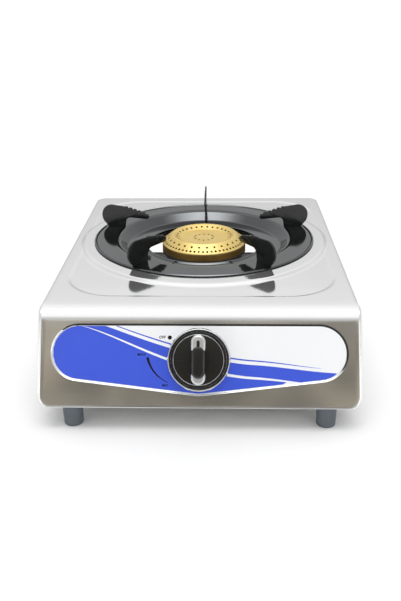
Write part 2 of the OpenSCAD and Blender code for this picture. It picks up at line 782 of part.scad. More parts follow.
// The pipe runs across behind the front face, bends, and runs to the back wall
module pipe_solid(r) {
    reach = r < pipe_r ? cut : 0;
    translate([pipe_bend_r - pipe_x, inlet_y, inlet_z]) rotate([0, 90, 0])
        cylinder(r = r, h = pipe_x - pipe_bend_r - boss_len + pipe_grip + reach);
    translate([pipe_bend_r - pipe_x, inlet_y + pipe_bend_r, inlet_z]) rotate([0, 0, 180])
        rotate_extrude(angle = 90) translate([pipe_bend_r, 0]) circle(r = r);
    translate([-pipe_x, inlet_y + pipe_bend_r, inlet_z]) rotate([-90, 0, 0])
        cylinder(r = r, h = pipe_end_y - inlet_y - pipe_bend_r + reach);
}

module pipe_nut() color(brass_colour) translate([-boss_len, inlet_y, inlet_z]) rotate([0, -90, 0])
    difference() {
        translate([0, 0, -pipe_grip]) hexagon(pipe_nut_af, 2 * pipe_grip);
        translate([0, 0, -pipe_grip - cut]) cylinder(r = boss_r, h = pipe_grip + cut);
        cylinder(r = pipe_r, h = pipe_grip + cut);
    }

module hose_nozzle() color(brass_colour)
    translate([-pipe_x, nozzle_seat_y, inlet_z]) rotate([-90, 0, 0]) difference() {
        neck_h = sheet_t + nozzle_nut_t;
        land = nozzle_len / (2 * nozzle_grooves + 1);
        union() {
            translate([0, 0, -nozzle_hex_h]) hexagon(nozzle_af, nozzle_hex_h);
            cylinder(r = neck_r, h = neck_h);
            cylinder(r = nozzle_r, h = neck_h + nozzle_len);
        }
        for (i = [0:nozzle_grooves - 1])
            translate([0, 0, neck_h + (2 * i + 1) * land])
                ring(nozzle_r + cut, nozzle_r - groove_depth, land);
        translate([0, 0, -nozzle_hex_h - cut]) cylinder(r = nozzle_bore_r, h = back_y);
        translate([0, 0, -nozzle_hex_h - cut]) cylinder(r = pipe_r, h = pipe_grip + cut);
    }

module nozzle_nut() color(brass_colour) translate([-pipe_x, back_y, inlet_z]) rotate([-90, 0, 0])
    difference() {
        hexagon(nozzle_af, nozzle_nut_t);
        translate([0, 0, -cut]) cylinder(r = neck_r, h = nozzle_nut_t + 2 * cut);
    }

module piezo_igniter() color(plastic_colour) on_knob_axis(piezo_front_w - piezo_len) {
    translate([piezo_x, -piezo_h / 2, 0]) cube([piezo_w, piezo_h, piezo_len]);
    translate([piezo_x + piezo_w / 2, 0, -piezo_tail]) cylinder(r = 2 * lead_r, h = piezo_tail);
}

// The lead leaves the igniter's tail, falls to the burner's rail, lies across it and rises to the electrode
tail_w = piezo_front_w - piezo_len - piezo_tail;
lead_from = [piezo_x + piezo_w / 2, front_y + knob_up * sin(front_lean) - tail_w * cos(front_lean),
    bottom_z + knob_up * cos(front_lean) + tail_w * sin(front_lean)];
lead_to = [0, electrode_y, lug_z - sleeve_below - wire_below];
lead_berth = 20;
lead_side = bowl_r + lead_berth;
lead_z = flange_z + rail_t + lead_r + fit_clear;
lead_out = sleeve_below * [0, cos(front_lean), -sin(front_lean)];
lead_rise = [0, 0, sleeve_below];
lead_knots = [lead_from, lead_from + lead_out,
    [0.72 * lead_side, burner_y - 2 * lead_side, lead_z + 2 * lead_r],
    [0.94 * lead_side, burner_y - 1.1 * lead_side, lead_z + lead_r / 2], [lead_side, burner_y, lead_z],
    [0.8 * lead_side, burner_y + 0.8 * lead_side, lead_z + lead_r],
    [0.3 * lead_side, burner_y + 1.1 * lead_side, lead_z + sleeve_below], lead_to - lead_rise, lead_to];
lead_steps = 5;

// A smooth curve through the knots
function knot(i) = lead_knots[max(0, min(len(lead_knots) - 1, i))];
function curve(i, t) = let (a = knot(i - 1), b = knot(i), c = knot(i + 1), d = knot(i + 2))
    b + t / 2 * (c - a) + t * t / 2 * (2 * a - 5 * b + 4 * c - d) + t * t * t / 2 * (3 * b - a - 3 * c + d);

module ignition_lead() color(lead_colour)
    swept_tube(concat([lead_from],
        [for (i = [1:len(lead_knots) - 3], k = [0:lead_steps - 1]) curve(i, k / lead_steps)],
        [lead_to - lead_rise, lead_to]), lead_r, 8, [1, 0.35, 0]);

module electrode_bracket() color(steel_colour) difference() {
    start = burner_y + bowl_r + loose_clear;
    translate([-lug_w / 2, start, lug_z]) cube([lug_w, electrode_y + sleeve_r + clip_edge - start, clip_t]);
    translate([0, electrode_y, lug_z - cut]) cylinder(r = sleeve_r, h = clip_t + 2 * cut);
    translate([0, clip_screw_y, lug_z - cut]) cylinder(r = clip_screw_r + screw_clear, h = clip_t + 2 * cut);
}

module electrode_sleeve() color(ceramic_colour) translate([0, electrode_y, lug_z]) difference() {
    union() {
        translate([0, 0, -sleeve_below]) cylinder(r = sleeve_r, h = sleeve_below + sleeve_above);
        translate([0, 0, clip_t]) cylinder(r = sleeve_r + clip_edge / 2, h = clip_t);
    }
    translate([0, 0, -sleeve_below - cut])
        cylinder(r = electrode_r, h = sleeve_below + sleeve_above + 2 * cut);
}

// An upright wire whose end turns towards the burner's skirt
module spark_electrode() color(steel_colour) {
    foot_z = lug_z - sleeve_below - wire_below;
    translate([0, electrode_y, foot_z]) cylinder(r = electrode_r, h = spark_z - foot_z);
    translate([0, electrode_y, spark_z]) sphere(r = electrode_r);
    translate([0, electrode_y, spark_z]) rotate([90, 0, 0])
        cylinder(r = electrode_r, h = electrode_out - cap_r - spark_gap);
}

module electrode_screw() color(steel_colour) translate([0, clip_screw_y, lug_z + clip_t])
    rotate([180, 0, 0]) screw(clip_screw_r, 1.7 * clip_screw_r, clip_screw_r, lug_h);

module burner_body() color(iron_colour) difference() {
    tube_end = tube_run - bowl_r + bowl_wall;
    union() {
        on_burner(bowl_z) cylinder(r = bowl_r, h = bowl_h);
        on_burner(bowl_rim_z - bowl_rim_t) cylinder(r = cap_r, h = bowl_rim_t);
        on_tube(tube_start) cylinder(r = tube_r, h = tube_end - tube_start);
        on_tube(tube_start) cylinder(r = stop_r, h = stop_t);
        on_tube(shutter_end + loose_clear) cylinder(r = stop_r, h = stop_t);
        translate([-lug_w / 2, burner_y + bowl_r - bowl_wall, lug_z - lug_h])
            cube([lug_w, bowl_wall + lug_out, lug_h]);
    }
    difference() {
        on_burner(bowl_z + bowl_wall) cylinder(r = bowl_r - bowl_wall, h = bowl_h);
        for (x = [-1, 1]) translate([x * burner_screw_pitch / 2, burner_y, bowl_z])
            cylinder(r = 3 * screw_r, h = 3 * bowl_wall);
    }
    on_tube(tube_start + mouth_wall) cylinder(r = tube_bore_r, h = tube_end - tube_start);
    on_tube(tube_start - cut) cylinder(r = injector_nose_r + loose_clear, h = mouth_wall + 2 * cut);
    on_tube(window_start) translate([-stop_r, -window_w / 2, 0]) cube([2 * stop_r, window_w, window_len]);
    for (x = [-1, 1]) translate([x * burner_screw_pitch / 2, burner_y, bowl_z - cut])
        cylinder(r = screw_r, h = 2.5 * bowl_wall + cut);
    translate([0, clip_screw_y, lug_z - lug_h + 0.5]) cylinder(r = clip_screw_r, h = lug_h + cut);
}

// A sleeve that turns on the tube's mouth and covers its windows
module air_shutter() color(steel_colour) on_tube(shutter_start) difference() {
    outer = tube_r + loose_clear + shutter_t;
    union() {
        cylinder(r = outer, h = shutter_len);
        translate([-shutter_t / 2, 0, shutter_len - window_w])
            cube([shutter_t, outer + shutter_tab, window_w]);
    }
    translate([0, 0, -cut]) cylinder(r = tube_r + loose_clear, h = shutter_len + 2 * cut);
    translate([-2 * outer, -window_w / 2, window_start - shutter_start])
        cube([4 * outer, window_w, window_len]);
}

// A ring of ports: r and z of each port's mouth, and its lean outwards from upright
module port_ring(count, r, z, lean) {
    for (i = [0:count - 1]) on_burner(z) rotate([0, 0, 360 * i / count]) translate([r, 0, 0])
        rotate([0, lean, 0]) translate([0, 0, -3 * cap_wall])
            cylinder(r = port_r, h = 4 * cap_wall, $fn = 16);
}

module burner_cap() color(brass_colour) difference() {
    shoulder_z = bowl_rim_z + cap_skirt_h;
    crest_z = shoulder_z + cap_bevel_h;
    plate_z = crest_z - cap_plate_sink;
    bevel_lean = atan2(cap_bevel_h, cap_bevel_w);
    inner_lean = -atan2(cap_plate_sink, cap_dip_w);
    union() {
        on_burner() rotate_extrude()
            polygon([[0, plate_z - cap_wall], [cap_plate_r, plate_z - cap_wall],
                [cap_crest_r - cap_wall, crest_z - 1.4 * cap_wall],
                [cap_r - cap_wall, shoulder_z - 0.6 * cap_wall],
                [cap_r - cap_wall, bowl_rim_z], [cap_r, bowl_rim_z], [cap_r, shoulder_z],
                [cap_crest_r, crest_z], [cap_crest_r - cap_crest_w, crest_z],
                [cap_plate_r, plate_z], [0, plate_z]]);
        on_burner(bowl_rim_z - spigot_h)
            ring(bowl_r - bowl_wall - loose_clear, bowl_r - 2 * bowl_wall, spigot_h + cap_skirt_h);
        on_burner(bowl_rim_z) ring(cap_r - cut, bowl_r - 2 * bowl_wall, cap_wall);
    }
    port_ring(port_counts[0], cap_r - lower_ring_in * cap_bevel_w, shoulder_z + lower_ring_in * cap_bevel_h,
        bevel_lean);
    port_ring(port_counts[1], cap_r - upper_ring_in * cap_bevel_w, shoulder_z + upper_ring_in * cap_bevel_h,
        bevel_lean);
    port_ring(port_counts[2], cap_plate_r + cap_dip_w / 2, (crest_z + plate_z) / 2, inner_lean);
    port_ring(port_counts[3], 0.4 * cap_plate_r, plate_z, 0);
}

module burner_rail() color(steel_colour) difference() {
    low = flange_z;
    inner_leg = rail_leg_x - rail_t;
    side = [[rail_end_x, low], [rail_end_x, low + rail_t], [rail_leg_x, low + rail_t], [rail_leg_x, bowl_z]];
    under = [[inner_leg, bowl_z - rail_t], [inner_leg, low]];
    translate([0, burner_y + rail_w / 2, 0]) rotate([90, 0, 0]) linear_extrude(rail_w)
        polygon(concat(side, [for (i = [3:-1:0]) [-side[i][0], side[i][1]]],
            [for (i = [1:-1:0]) [-under[i][0], under[i][1]]], under));
    for (x = [-1, 1]) {
        translate([x * rail_screw_x, burner_y, low - cut])
            cylinder(r = screw_r + screw_clear, h = rail_t + 2 * cut);
        translate([x * burner_screw_pitch / 2, burner_y, bowl_z - rail_t - cut])
            cylinder(r = screw_r + screw_clear, h = rail_t + 2 * cut);
    }
}

module burner_screws() color(steel_colour)
    for (x = [-1, 1]) translate([x * burner_screw_pitch / 2, burner_y, bowl_z - rail_t])
        screw(screw_r, screw_head_r, screw_head_h, rail_t + 2 * bowl_wall);

module rail_screws() color(steel_colour)
    for (x = [-1, 1]) translate([x * rail_screw_x, burner_y, bottom_z])
        screw(screw_r, screw_head_r, screw_head_h, sheet_t + rail_t + screw_tail);

module drip_dish() color(dark_steel_colour) difference() {
    low = collar_z;
    bead_in = dish_hole_r + dish_bead_w;
    slope = dish_t / 2;
    on_burner() rotate_extrude()
        polygon([[dish_hole_r, floor_z - dish_t], [dish_foot_r + slope, floor_z - dish_t],
            [dish_bend_r + slope, low], [dish_r, low], [dish_r, dish_z + dish_bead_h / 2],
            [dish_r - dish_bead_w / 3, dish_z + dish_bead_h],
            [dish_r - 2 * dish_bead_w / 3, dish_z + dish_bead_h], [dish_r - dish_bead_w, dish_z],
            [dish_bend_r + dish_t, dish_z], [dish_bend_r - dish_t, dish_z - dish_t], [dish_foot_r, floor_z],
            [bead_in, floor_z], [bead_in - dish_bead_w / 3, floor_z + dish_bead_h],
            [dish_hole_r, floor_z + dish_bead_h]]);
    for (az = [-117, -63]) on_burner(floor_z - dish_t - cut) rotate([0, 0, az])
        translate([bead_in + 2 * drain_r, 0, 0]) cylinder(r = drain_r, h = dish_t + 2 * cut);
}

// One prong's outline, out from the burner's centre line and up from the dish's flange
function prong_outline() =
    let (prong_foot_in = dish_bend_r + prong_foot_gap, prong_out = dish_r + prong_overhang,
        prong_tip_in = dish_hole_r + prong_tip_gap, prong_foot_out = dish_r - prong_foot_end,
        neck = prong_foot_in - neck_in, shoulder = [prong_out - shoulder_r, prong_h - shoulder_r],
        under = prong_h - tip_drop - 2 * tip_r, tip = [prong_tip_in + tip_r, under + tip_r],
        first = tip + tip_r * [cos(100), sin(100)], last = [shoulder[0] - land_w, prong_h],
        step = last - first)
    concat([[prong_foot_in, 0]],
        arc_points([neck - arm_curve_r, under - arm_curve_r], arm_curve_r, 0, 90, 8),
        arc_points(tip, tip_r, 270, 100, 6),
        [for (i = [0:tooth_count - 1], up = [0, 1])
            first + step * (i + 0.35 + 0.5 * up) / tooth_count + [0, up * tooth_h]],
        [last], arc_points(shoulder, shoulder_r, 90, -35, 12), [[prong_foot_out, 0]]);

module prong(number) color(enamel_colour)
    on_burner(dish_z) rotate([0, 0, prong_first_az + 360 * (number - 1) / prong_count])
        translate([0, prong_t / 2, 0]) rotate([90, 0, 0]) linear_extrude(prong_t) polygon(prong_outline());

module foot(number) color(rubber_colour) translate([foot_spots[number][0], foot_spots[number][1], 0])
    difference() {
        rotate_extrude() polygon([[0, 0], [foot_tread_r - foot_edge, 0], [foot_tread_r, foot_edge],
            [foot_r, foot_h], [0, foot_h]]);
        translate([0, 0, -cut]) cylinder(r = screw_head_r + 2 * screw_clear, h = foot_recess + cut);
        cylinder(r = screw_r + screw_clear, h = foot_h + cut);
    }

module foot_screws() color(steel_colour)
    for (p = foot_spots) translate([p[0], p[1], foot_recess])
        screw(screw_r, screw_head_r, screw_head_h, flange_z - foot_recess + foot_nut_t + screw_clear);

module foot_nuts() color(steel_colour)
    for (p = foot_spots) translate([p[0], p[1], flange_z]) difference() {
        hexagon(foot_nut_af, foot_nut_t);
        translate([0, 0, -cut]) cylinder(r = screw_r, h = foot_nut_t + 2 * cut);
    }

hob_shell();
control_label();
knob_bezel();
knob();
knob_ring();
grip_inserts();
valve_body();
valve_bonnet();
valve_plug();
valve_stem();
stem_spring();
valve_screws();
injector();
gas_pipe();
pipe_nut();
hose_nozzle();
nozzle_nut();
piezo_igniter();
ignition_lead();
electrode_bracket();
electrode_sleeve();
spark_electrode();
electrode_screw();
burner_body();
air_shutter();
burner_cap();
burner_rail();
burner_screws();
rail_screws();
drip_dish();
prong(1);  // prong_1
prong(2);  // prong_2
prong(3);  // prong_3
prong(4);  // prong_4
prong(5);  // prong_5
foot(0);  // foot_front_left
foot(1);  // foot_front_right
foot(2);  // foot_back_left
foot(3);  // foot_back_right
foot_screws();
foot_nuts();
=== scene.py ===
# %% [markdown]
# # A tabletop gas stove
# The CAD model holds every solid of the stove at its true size. This lesson dresses it: sheet
# steel pressed into soft bends, a brass cap drilled with ports, black enamelled prongs, a
# printed label and a moulded knob. The frame is loaded first, because every later piece takes
# its place from it.

# %% Load the frame
import json
import math

import bmesh
import bpy
from mathutils import Matrix, Vector


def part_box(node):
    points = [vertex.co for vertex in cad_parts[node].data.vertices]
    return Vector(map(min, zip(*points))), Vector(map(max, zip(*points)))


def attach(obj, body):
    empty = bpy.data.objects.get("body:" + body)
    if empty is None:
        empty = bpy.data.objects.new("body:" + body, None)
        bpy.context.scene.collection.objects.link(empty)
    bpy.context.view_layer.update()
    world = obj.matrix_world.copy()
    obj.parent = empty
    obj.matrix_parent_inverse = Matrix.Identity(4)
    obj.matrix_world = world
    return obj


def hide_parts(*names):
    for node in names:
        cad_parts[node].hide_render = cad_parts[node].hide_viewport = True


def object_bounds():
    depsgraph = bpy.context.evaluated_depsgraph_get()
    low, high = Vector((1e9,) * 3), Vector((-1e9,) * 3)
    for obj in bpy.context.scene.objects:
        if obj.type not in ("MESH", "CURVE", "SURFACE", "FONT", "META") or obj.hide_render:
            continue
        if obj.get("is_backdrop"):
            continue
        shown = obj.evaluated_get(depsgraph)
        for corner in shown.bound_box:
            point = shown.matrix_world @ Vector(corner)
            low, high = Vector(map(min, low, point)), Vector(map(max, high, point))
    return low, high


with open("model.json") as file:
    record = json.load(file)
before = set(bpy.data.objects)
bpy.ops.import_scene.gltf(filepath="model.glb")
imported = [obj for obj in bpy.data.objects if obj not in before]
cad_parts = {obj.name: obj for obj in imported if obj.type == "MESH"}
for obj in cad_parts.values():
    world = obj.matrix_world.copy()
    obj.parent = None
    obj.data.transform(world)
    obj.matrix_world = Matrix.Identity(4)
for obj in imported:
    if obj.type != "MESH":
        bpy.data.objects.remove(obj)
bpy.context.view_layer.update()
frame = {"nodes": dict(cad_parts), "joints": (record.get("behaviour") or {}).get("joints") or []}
MM = 0.001

# %% [markdown]
# ## Where things are
# The burner's axis is the middle of the dish, and the knob's joint gives the axis that stands
# square on the leaning front. From that axis comes a small frame of its own for the front:
# u to the right, v up the slope, w outwards. It saves working out the lean for each piece.

# %% Places taken from the frame
joints = {j["name"]: j for j in frame["joints"]}
shell_low, shell_high = (1000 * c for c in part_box("hob_shell"))
dish_low, dish_high = (1000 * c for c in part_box("drip_dish"))
burner_y = (dish_low.y + dish_high.y) / 2
out = Vector(joints["knob_turn"]["axis"])
right = Vector((1, 0, 0))
up = out.cross(right)
knob_spot = 1000 * Vector(joints["knob_turn"]["pos_m"])
front = Matrix((right, up, out)).transposed().to_4x4()
front.translation = knob_spot
lean = math.asin(out.z)
print(f"burner axis at y {burner_y:.2f} mm, front leans {math.degrees(lean):.1f} degrees")

# %% [markdown]
# ## Small tools
# Every mesh below is worked out in millimetres, as the CAD model is, and shrunk to metres when
# it becomes an object. A profile with rounded corners, a lathe and a bridge between loops of
# points make most of the pieces of a stove, because its parts are spun, pressed or cut.

# %% Turn points into a mesh
def mesh_piece(name, verts, faces, place=None, sharp=40):
    """A mesh object from points in millimetres, its faces turned outwards and shaded smooth."""
    mesh = bpy.data.meshes.new(name)
    mesh.from_pydata([Vector(v) for v in verts], [], faces)
    mesh.transform(Matrix.Scale(MM, 4) @ (place or Matrix()))
    work = bmesh.new()
    work.from_mesh(mesh)
    bmesh.ops.remove_doubles(work, verts=work.verts, dist=1e-7)
    bmesh.ops.recalc_face_normals(work, faces=work.faces)
    work.to_mesh(mesh)
    work.free()
    mesh.shade_smooth()
    mesh.set_sharp_from_angle(angle=math.radians(sharp))
    piece = bpy.data.objects.new(name, mesh)
    bpy.context.scene.collection.objects.link(piece)
    return piece


def smooth(low, high, x):
    """0 below low, 1 above high, and an S-shaped rise between them."""
    t = min(1.0, max(0.0, (x - low) / (high - low)))
    return t * t * (3 - 2 * t)


def crossing(inside, low, high):
    """Where a walk from low to high leaves a shape, found by halving."""
    for _ in range(40):
        mid = (low + high) / 2
        low, high = (mid, high) if inside(mid) else (low, mid)
    return low


# %% Rounded profiles and the lathe
def soften(points, radii, steps=6, closed=True):
    """A polyline whose corners are rounded, each by its own radius."""
    made, n = [], len(points)
    for i, (corner, r) in enumerate(zip(points, radii)):
        corner = Vector(corner)
        if r == 0 or (not closed and i in (0, n - 1)):
            made.append(tuple(corner))
            continue
        back, ahead = Vector(points[i - 1]) - corner, Vector(points[(i + 1) % n]) - corner
        half = back.angle(ahead) / 2
        reach = min(r / math.tan(half), 0.48 * back.length, 0.48 * ahead.length)
        start, end = corner + reach * back.normalized(), corner + reach * ahead.normalized()
        for k in range(steps + 1):
            t = k / steps
            made.append(tuple((1 - t) ** 2 * start + 2 * t * (1 - t) * corner + t * t * end))
    return made


def lathe(profile, count, closed=True):
    """Points and faces of a profile of (radius, height) spun about the upright axis."""
    verts, rings, faces = [], [], []
    for r, z in profile:
        ring = []
        for k in range(count if r > 1e-6 else 1):
            a = 2 * math.pi * k / count
            ring.append(len(verts))
            verts.append((r * math.cos(a), r * math.sin(a), z))
        rings.append(ring)
    for i in range(len(rings) - (0 if closed else 1)):
        a, b = rings[i], rings[(i + 1) % len(rings)]
        for k in range(count):
            n = (k + 1) % count
            corners = (a[k % len(a)], b[k % len(b)], b[n % len(b)], a[n % len(a)])
            face = tuple(dict.fromkeys(corners))
            if len(face) > 2:
                faces.append(face)
    return verts, faces


# %% Arcs, and loops bridged into a solid
def bow(cx, cy, r, start, end, steps):
    """Points on an arc between two angles in degrees."""
    angles = [math.radians(start + (end - start) * k / steps) for k in range(steps + 1)]
    return [(cx + r * math.cos(a), cy + r * math.sin(a)) for a in angles]


def stack(loops, filled=True):
    """Equal loops bridged in turn. The end loops are filled, or else joined to each other."""
    n, count = len(loops[0]), len(loops)
    faces = []
    for i in range(count - 1 if filled else count):
        a, b = i * n, (i + 1) % count * n
        faces += [(a + k, a + (k + 1) % n, b + (k + 1) % n, b + k) for k in range(n)]
    if filled:
        faces += [tuple(range(n)), tuple(range((count - 1) * n, count * n))]
    return [p for line in loops for p in line], faces

# %% [markdown]
# ## One function for nodes, one for colours
# A material and a Geometry Nodes tree are both made of nodes. One function adds a node, sets
# its own settings and fills its inputs: a plain value is typed in, a socket is linked. Colours
# are written as on a paint card, in sRGB hex, and turned to the linear values that a renderer
# works with.

# %% Nodes and colours
def add(tree, kind, inputs=None, **settings):
    made = tree.nodes.new(kind)
    for name, value in settings.items():
        setattr(made, name, value)
    for name, value in (inputs or {}).items():
        if isinstance(value, bpy.types.NodeSocket):
            tree.links.new(value, made.inputs[name])
        else:
            made.inputs[name].default_value = value
    return made


def paint(code):
    """A linear colour from an sRGB hex value."""
    parts = [int(code[i:i + 2], 16) / 255 for i in (1, 3, 5)]
    return [c / 12.92 if c <= 0.04045 else ((c + 0.055) / 1.055) ** 2.4 for c in parts] + [1.0]


def new_finish(name, **values):
    """An empty material with one Principled shader, whose plain values are set on its sockets."""
    finish = bpy.data.materials.new(name)
    finish.use_nodes = True
    tree = finish.node_tree
    tree.nodes.clear()
    shader = add(tree, "ShaderNodeBsdfPrincipled")
    for socket, value in values.items():
        shader.inputs[socket.replace("_", " ")].default_value = value
    add(tree, "ShaderNodeOutputMaterial", {"Surface": shader.outputs["BSDF"]})
    place = add(tree, "ShaderNodeTexCoord").outputs["Object"]
    return finish, tree, shader, place
def dress(tree, shader, mix, light, dark, sheen, low, high, height=None, strength=0.0, depth=0.0):
    """Give a shader two tones, a range of roughness and perhaps a bump, each led by a texture."""
    tone = add(tree, "ShaderNodeMix", {0: mix, 6: paint(light), 7: paint(dark)}, data_type="RGBA")
    gloss = add(tree, "ShaderNodeMapRange", {"Value": sheen, "To Min": low, "To Max": high}).outputs[0]
    tree.links.new(tone.outputs[2], shader.inputs["Base Color"])
    tree.links.new(gloss, shader.inputs["Roughness"])
    if height:
        bump = add(tree, "ShaderNodeBump", {"Height": height, "Strength": strength, "Distance": depth})
        tree.links.new(bump.outputs[0], shader.inputs["Normal"])
    return gloss
# %% [markdown]
# ## Stainless steel
# The shell is bright rolled stainless sheet. It mirrors the room, but the rolls leave fine
# lines from side to side, and cleaning leaves faint clouds, so its roughness is not even. The
# real lines are about a tenth of a millimetre apart. Here they are drawn ten times as coarse,
# because finer ones would vanish between the pixels. Only the outer side is bright: the inner
# side has the dull grain of the mill, darkened as painted shade for the inside of the shell.

# %% Stainless steel
stainless, tree, shader, place = new_finish("stainless_steel_rolled", Metallic=0.93)
lines_at = add(tree, "ShaderNodeMapping", {"Vector": place, "Scale": (1 / 0.07, 1 / 0.001, 1 / 0.001)})
lines = add(tree, "ShaderNodeTexNoise", {"Vector": lines_at.outputs[0], "Scale": 1.0, "Detail": 3.0})
clouds = add(tree, "ShaderNodeTexNoise", {"Vector": place, "Scale": 1 / 0.07, "Detail": 2.0})
lines, clouds = lines.outputs["Fac"], clouds.outputs["Fac"]
gloss = dress(tree, shader, clouds, "#F1F2F1", "#E9EAE9", lines, 0.05, 0.11, lines, 0.03, 0.0001)
haze = add(tree, "ShaderNodeMath", {0: clouds, 1: 0.04, 2: gloss}, operation="MULTIPLY_ADD")
tree.links.new(haze.outputs[0], shader.inputs["Roughness"])
# Painted shade: the mill side is darker than bare mill steel, standing for the shade inside the shell.
shaded_mill_side, tree, shader, place = new_finish("stainless_steel_mill_side", Metallic=1.0)
grain = add(tree, "ShaderNodeTexNoise", {"Vector": place, "Scale": 1 / 0.004, "Detail": 4.0}).outputs["Fac"]
dress(tree, shader, grain, "#5E5D5A", "#504F4C", grain, 0.42, 0.58)
print("made", stainless.name, shaded_mill_side.name)

# %% [markdown]
# ## Bright and plated metals
# Chrome on the bezel is nearly a mirror: its shape comes from what it reflects, so it only gets
# a whisper of polishing haze. Zinc plate on the hidden steel has a mottled, frosty skin. Brass
# is the cap's metal: cast and tumbled until it is satin. The cap's upright skirt gets a darker,
# browner brass, a painted reflection of the dark dish below it.

# %% Chrome and zinc
chrome, tree, shader, place = new_finish("chrome_plate_polished", Metallic=1.0)
haze = add(tree, "ShaderNodeTexNoise", {"Vector": place, "Scale": 1 / 0.004, "Detail": 3.0}).outputs["Fac"]
dress(tree, shader, haze, "#E1E3E5", "#D3D5D8", haze, 0.04, 0.10)
zinc, tree, shader, place = new_finish("zinc_plated_steel", Metallic=1.0)
spangle = add(tree, "ShaderNodeTexVoronoi", {"Vector": place, "Scale": 1 / 0.003}).outputs
dress(tree, shader, spangle["Color"], "#A9ACAF", "#C4C6C8", spangle["Distance"], 0.28, 0.42)
print("made", chrome.name, zinc.name)

# %% Brass, tumbled for the cap and turned for the valve
def brass(name, light, dark, grit, rough):
    """Brass whose grit has the given size; the cap and the valve differ in this and in tone."""
    finish, tree, shader, place = new_finish(name, Metallic=1.0)
    speck, stain = (add(tree, "ShaderNodeTexNoise", {"Vector": place, "Scale": 1 / size, "Detail": detail})
                    .outputs["Fac"] for size, detail in ((grit, 4.0), (0.018, 3.0)))
    dress(tree, shader, stain, light, dark, speck, rough, rough + 0.2, speck, 0.35, grit / 4)
    return finish


cap_brass = brass("brass_cast_and_tumbled", "#F0DA98", "#E4C674", 0.0012, 0.36)
# Painted reflection: darker, browner brass for the skirt, standing for the dark dish it mirrors.
skirt_brass_painted_reflection = brass("brass_cast_brown", "#CCA866", "#B8904E", 0.0012, 0.36)
valve_brass = brass("brass_turned", "#C9A458", "#B08C44", 0.0006, 0.22)
print("made", cap_brass.name, skirt_brass_painted_reflection.name, valve_brass.name)

# %% [markdown]
# ## Enamel, iron, plastic and rubber
# Vitreous enamel is glass melted onto steel: black on the prongs, with the faint ripple that
# painters call orange peel. The dish has a thin dark metal coat that mirrors the lamp. The knob is
# pressed from a hard, glossy resin with a blacker rim, and its plated ends are satin. The
# igniter's block is dull. Cast iron keeps the grain of its sand mould. The feet are soft rubber
# with a fine bloom, and the lead has a silicone skin. The upper and right walls of the label's
# recess get a near-black finish, painted shade where those walls lie in shade.

# %% Coated and moulded finishes
def moulded(name, light, dark, patch, ripple, depth, rough, **values):
    """A finish of two close tones in patches, with a ripple of a given size and depth in metres."""
    finish, tree, shader, place = new_finish(name, **values)
    shade, wave = (add(tree, "ShaderNodeTexNoise", {"Vector": place, "Scale": 1 / size, "Detail": detail})
                   .outputs["Fac"] for size, detail in ((patch, 3.0), (ripple, 2.0)))
    dress(tree, shader, shade, light, dark, shade, 0.75 * rough, 1.25 * rough, wave, 0.5, depth)
    return finish


black_enamel = moulded("vitreous_enamel_black", "#141516", "#0B0C0C", 0.02, 0.004, 0.00003, 0.22)
dark_coat = moulded("titanium_coated_steel_dark", "#656768", "#5D5F60", 0.03, 0.006, 0.00001, 0.09,
                    Metallic=1.0)
knob_resin = moulded("phenolic_resin_glossy", "#242421", "#1D1D1B", 0.01, 0.003, 0.00001, 0.16)
rim_resin = moulded("phenolic_resin_black", "#0B0B0B", "#070707", 0.01, 0.003, 0.00001, 0.3,
                    Specular_IOR_Level=0.2)
satin_plate = moulded("satin_plated_resin", "#D9DADB", "#CFD0D1", 0.01, 0.001, 0.00001, 0.36, Metallic=1.0)
igniter_resin = moulded("moulded_resin_dull", "#2A2A2C", "#222224", 0.008, 0.0006, 0.00006, 0.5)
cast_iron = moulded("sand_cast_iron_painted", "#4A4B4E", "#3A3B3D", 0.012, 0.0012, 0.0002, 0.55)
foot_rubber = moulded("moulded_rubber_grey", "#5F666D", "#535A61", 0.012, 0.0005, 0.00005, 0.55)
glazed_ceramic = moulded("glazed_ceramic_white", "#F0EDE4", "#E6E2D6", 0.006, 0.002, 0.00001, 0.15)
silicone_skin = moulded("silicone_lead_skin_red", "#9C2F28", "#8A2822", 0.01, 0.0008, 0.00003, 0.4)
# Painted shade: a near-black finish for the recess walls that lie in shade.
recess_painted_shade = moulded("polishing_compound_film_black", "#1E1D1C", "#171615", 0.01, 0.001, 0.00001, 0.5)
label_film = moulded("printed_film_white", "#F4F5F7", "#EEF0F3", 0.05, 0.003, 0.00001, 0.16)
blue_ink = moulded("printed_film_blue", "#4660DA", "#3F58D0", 0.05, 0.003, 0.00001, 0.16)
black_ink = moulded("printed_film_black", "#1A1A1D", "#141416", 0.02, 0.003, 0.00001, 0.18)
print("moulded and coated finishes:", len(bpy.data.materials))

# %% [markdown]
# ## The camera
# The photograph was taken from the front, a little right of the middle, looking down about 24
# degrees, and it was levelled by the stove's front edge. Those angles and the lens came from
# fitting the stove's straight edges. The picture is taller than it is wide, so the sensor's
# 36 mm lie along its height.

# %% Camera
view = bpy.data.cameras.new("camera")
view.lens, view.sensor_width = 45.23, 36.0
camera = bpy.data.objects.new("camera", view)
pan, tilt, roll = (math.radians(a) for a in (1.78, 90 - 23.77, -0.55))
aim = Matrix.Rotation(pan, 4, "Z") @ Matrix.Rotation(tilt, 4, "X") @ Matrix.Rotation(roll, 4, "Z")
camera.location, camera.rotation_euler = (0.0211, -0.8047, 0.3937), aim.to_euler()
bpy.context.scene.collection.objects.link(camera)
bpy.context.scene.camera = camera
print("camera at", [round(c, 3) for c in camera.location])

# %% [markdown]
# ## The ignition lead
# A thin high-voltage lead runs from the igniter behind the knob to the electrode beside the
# burner. It lies on the rail, so the route here is the CAD route: a smooth curve through a few
# knots, straight for a short way at both ends. A curve with a round bevel is all it needs.

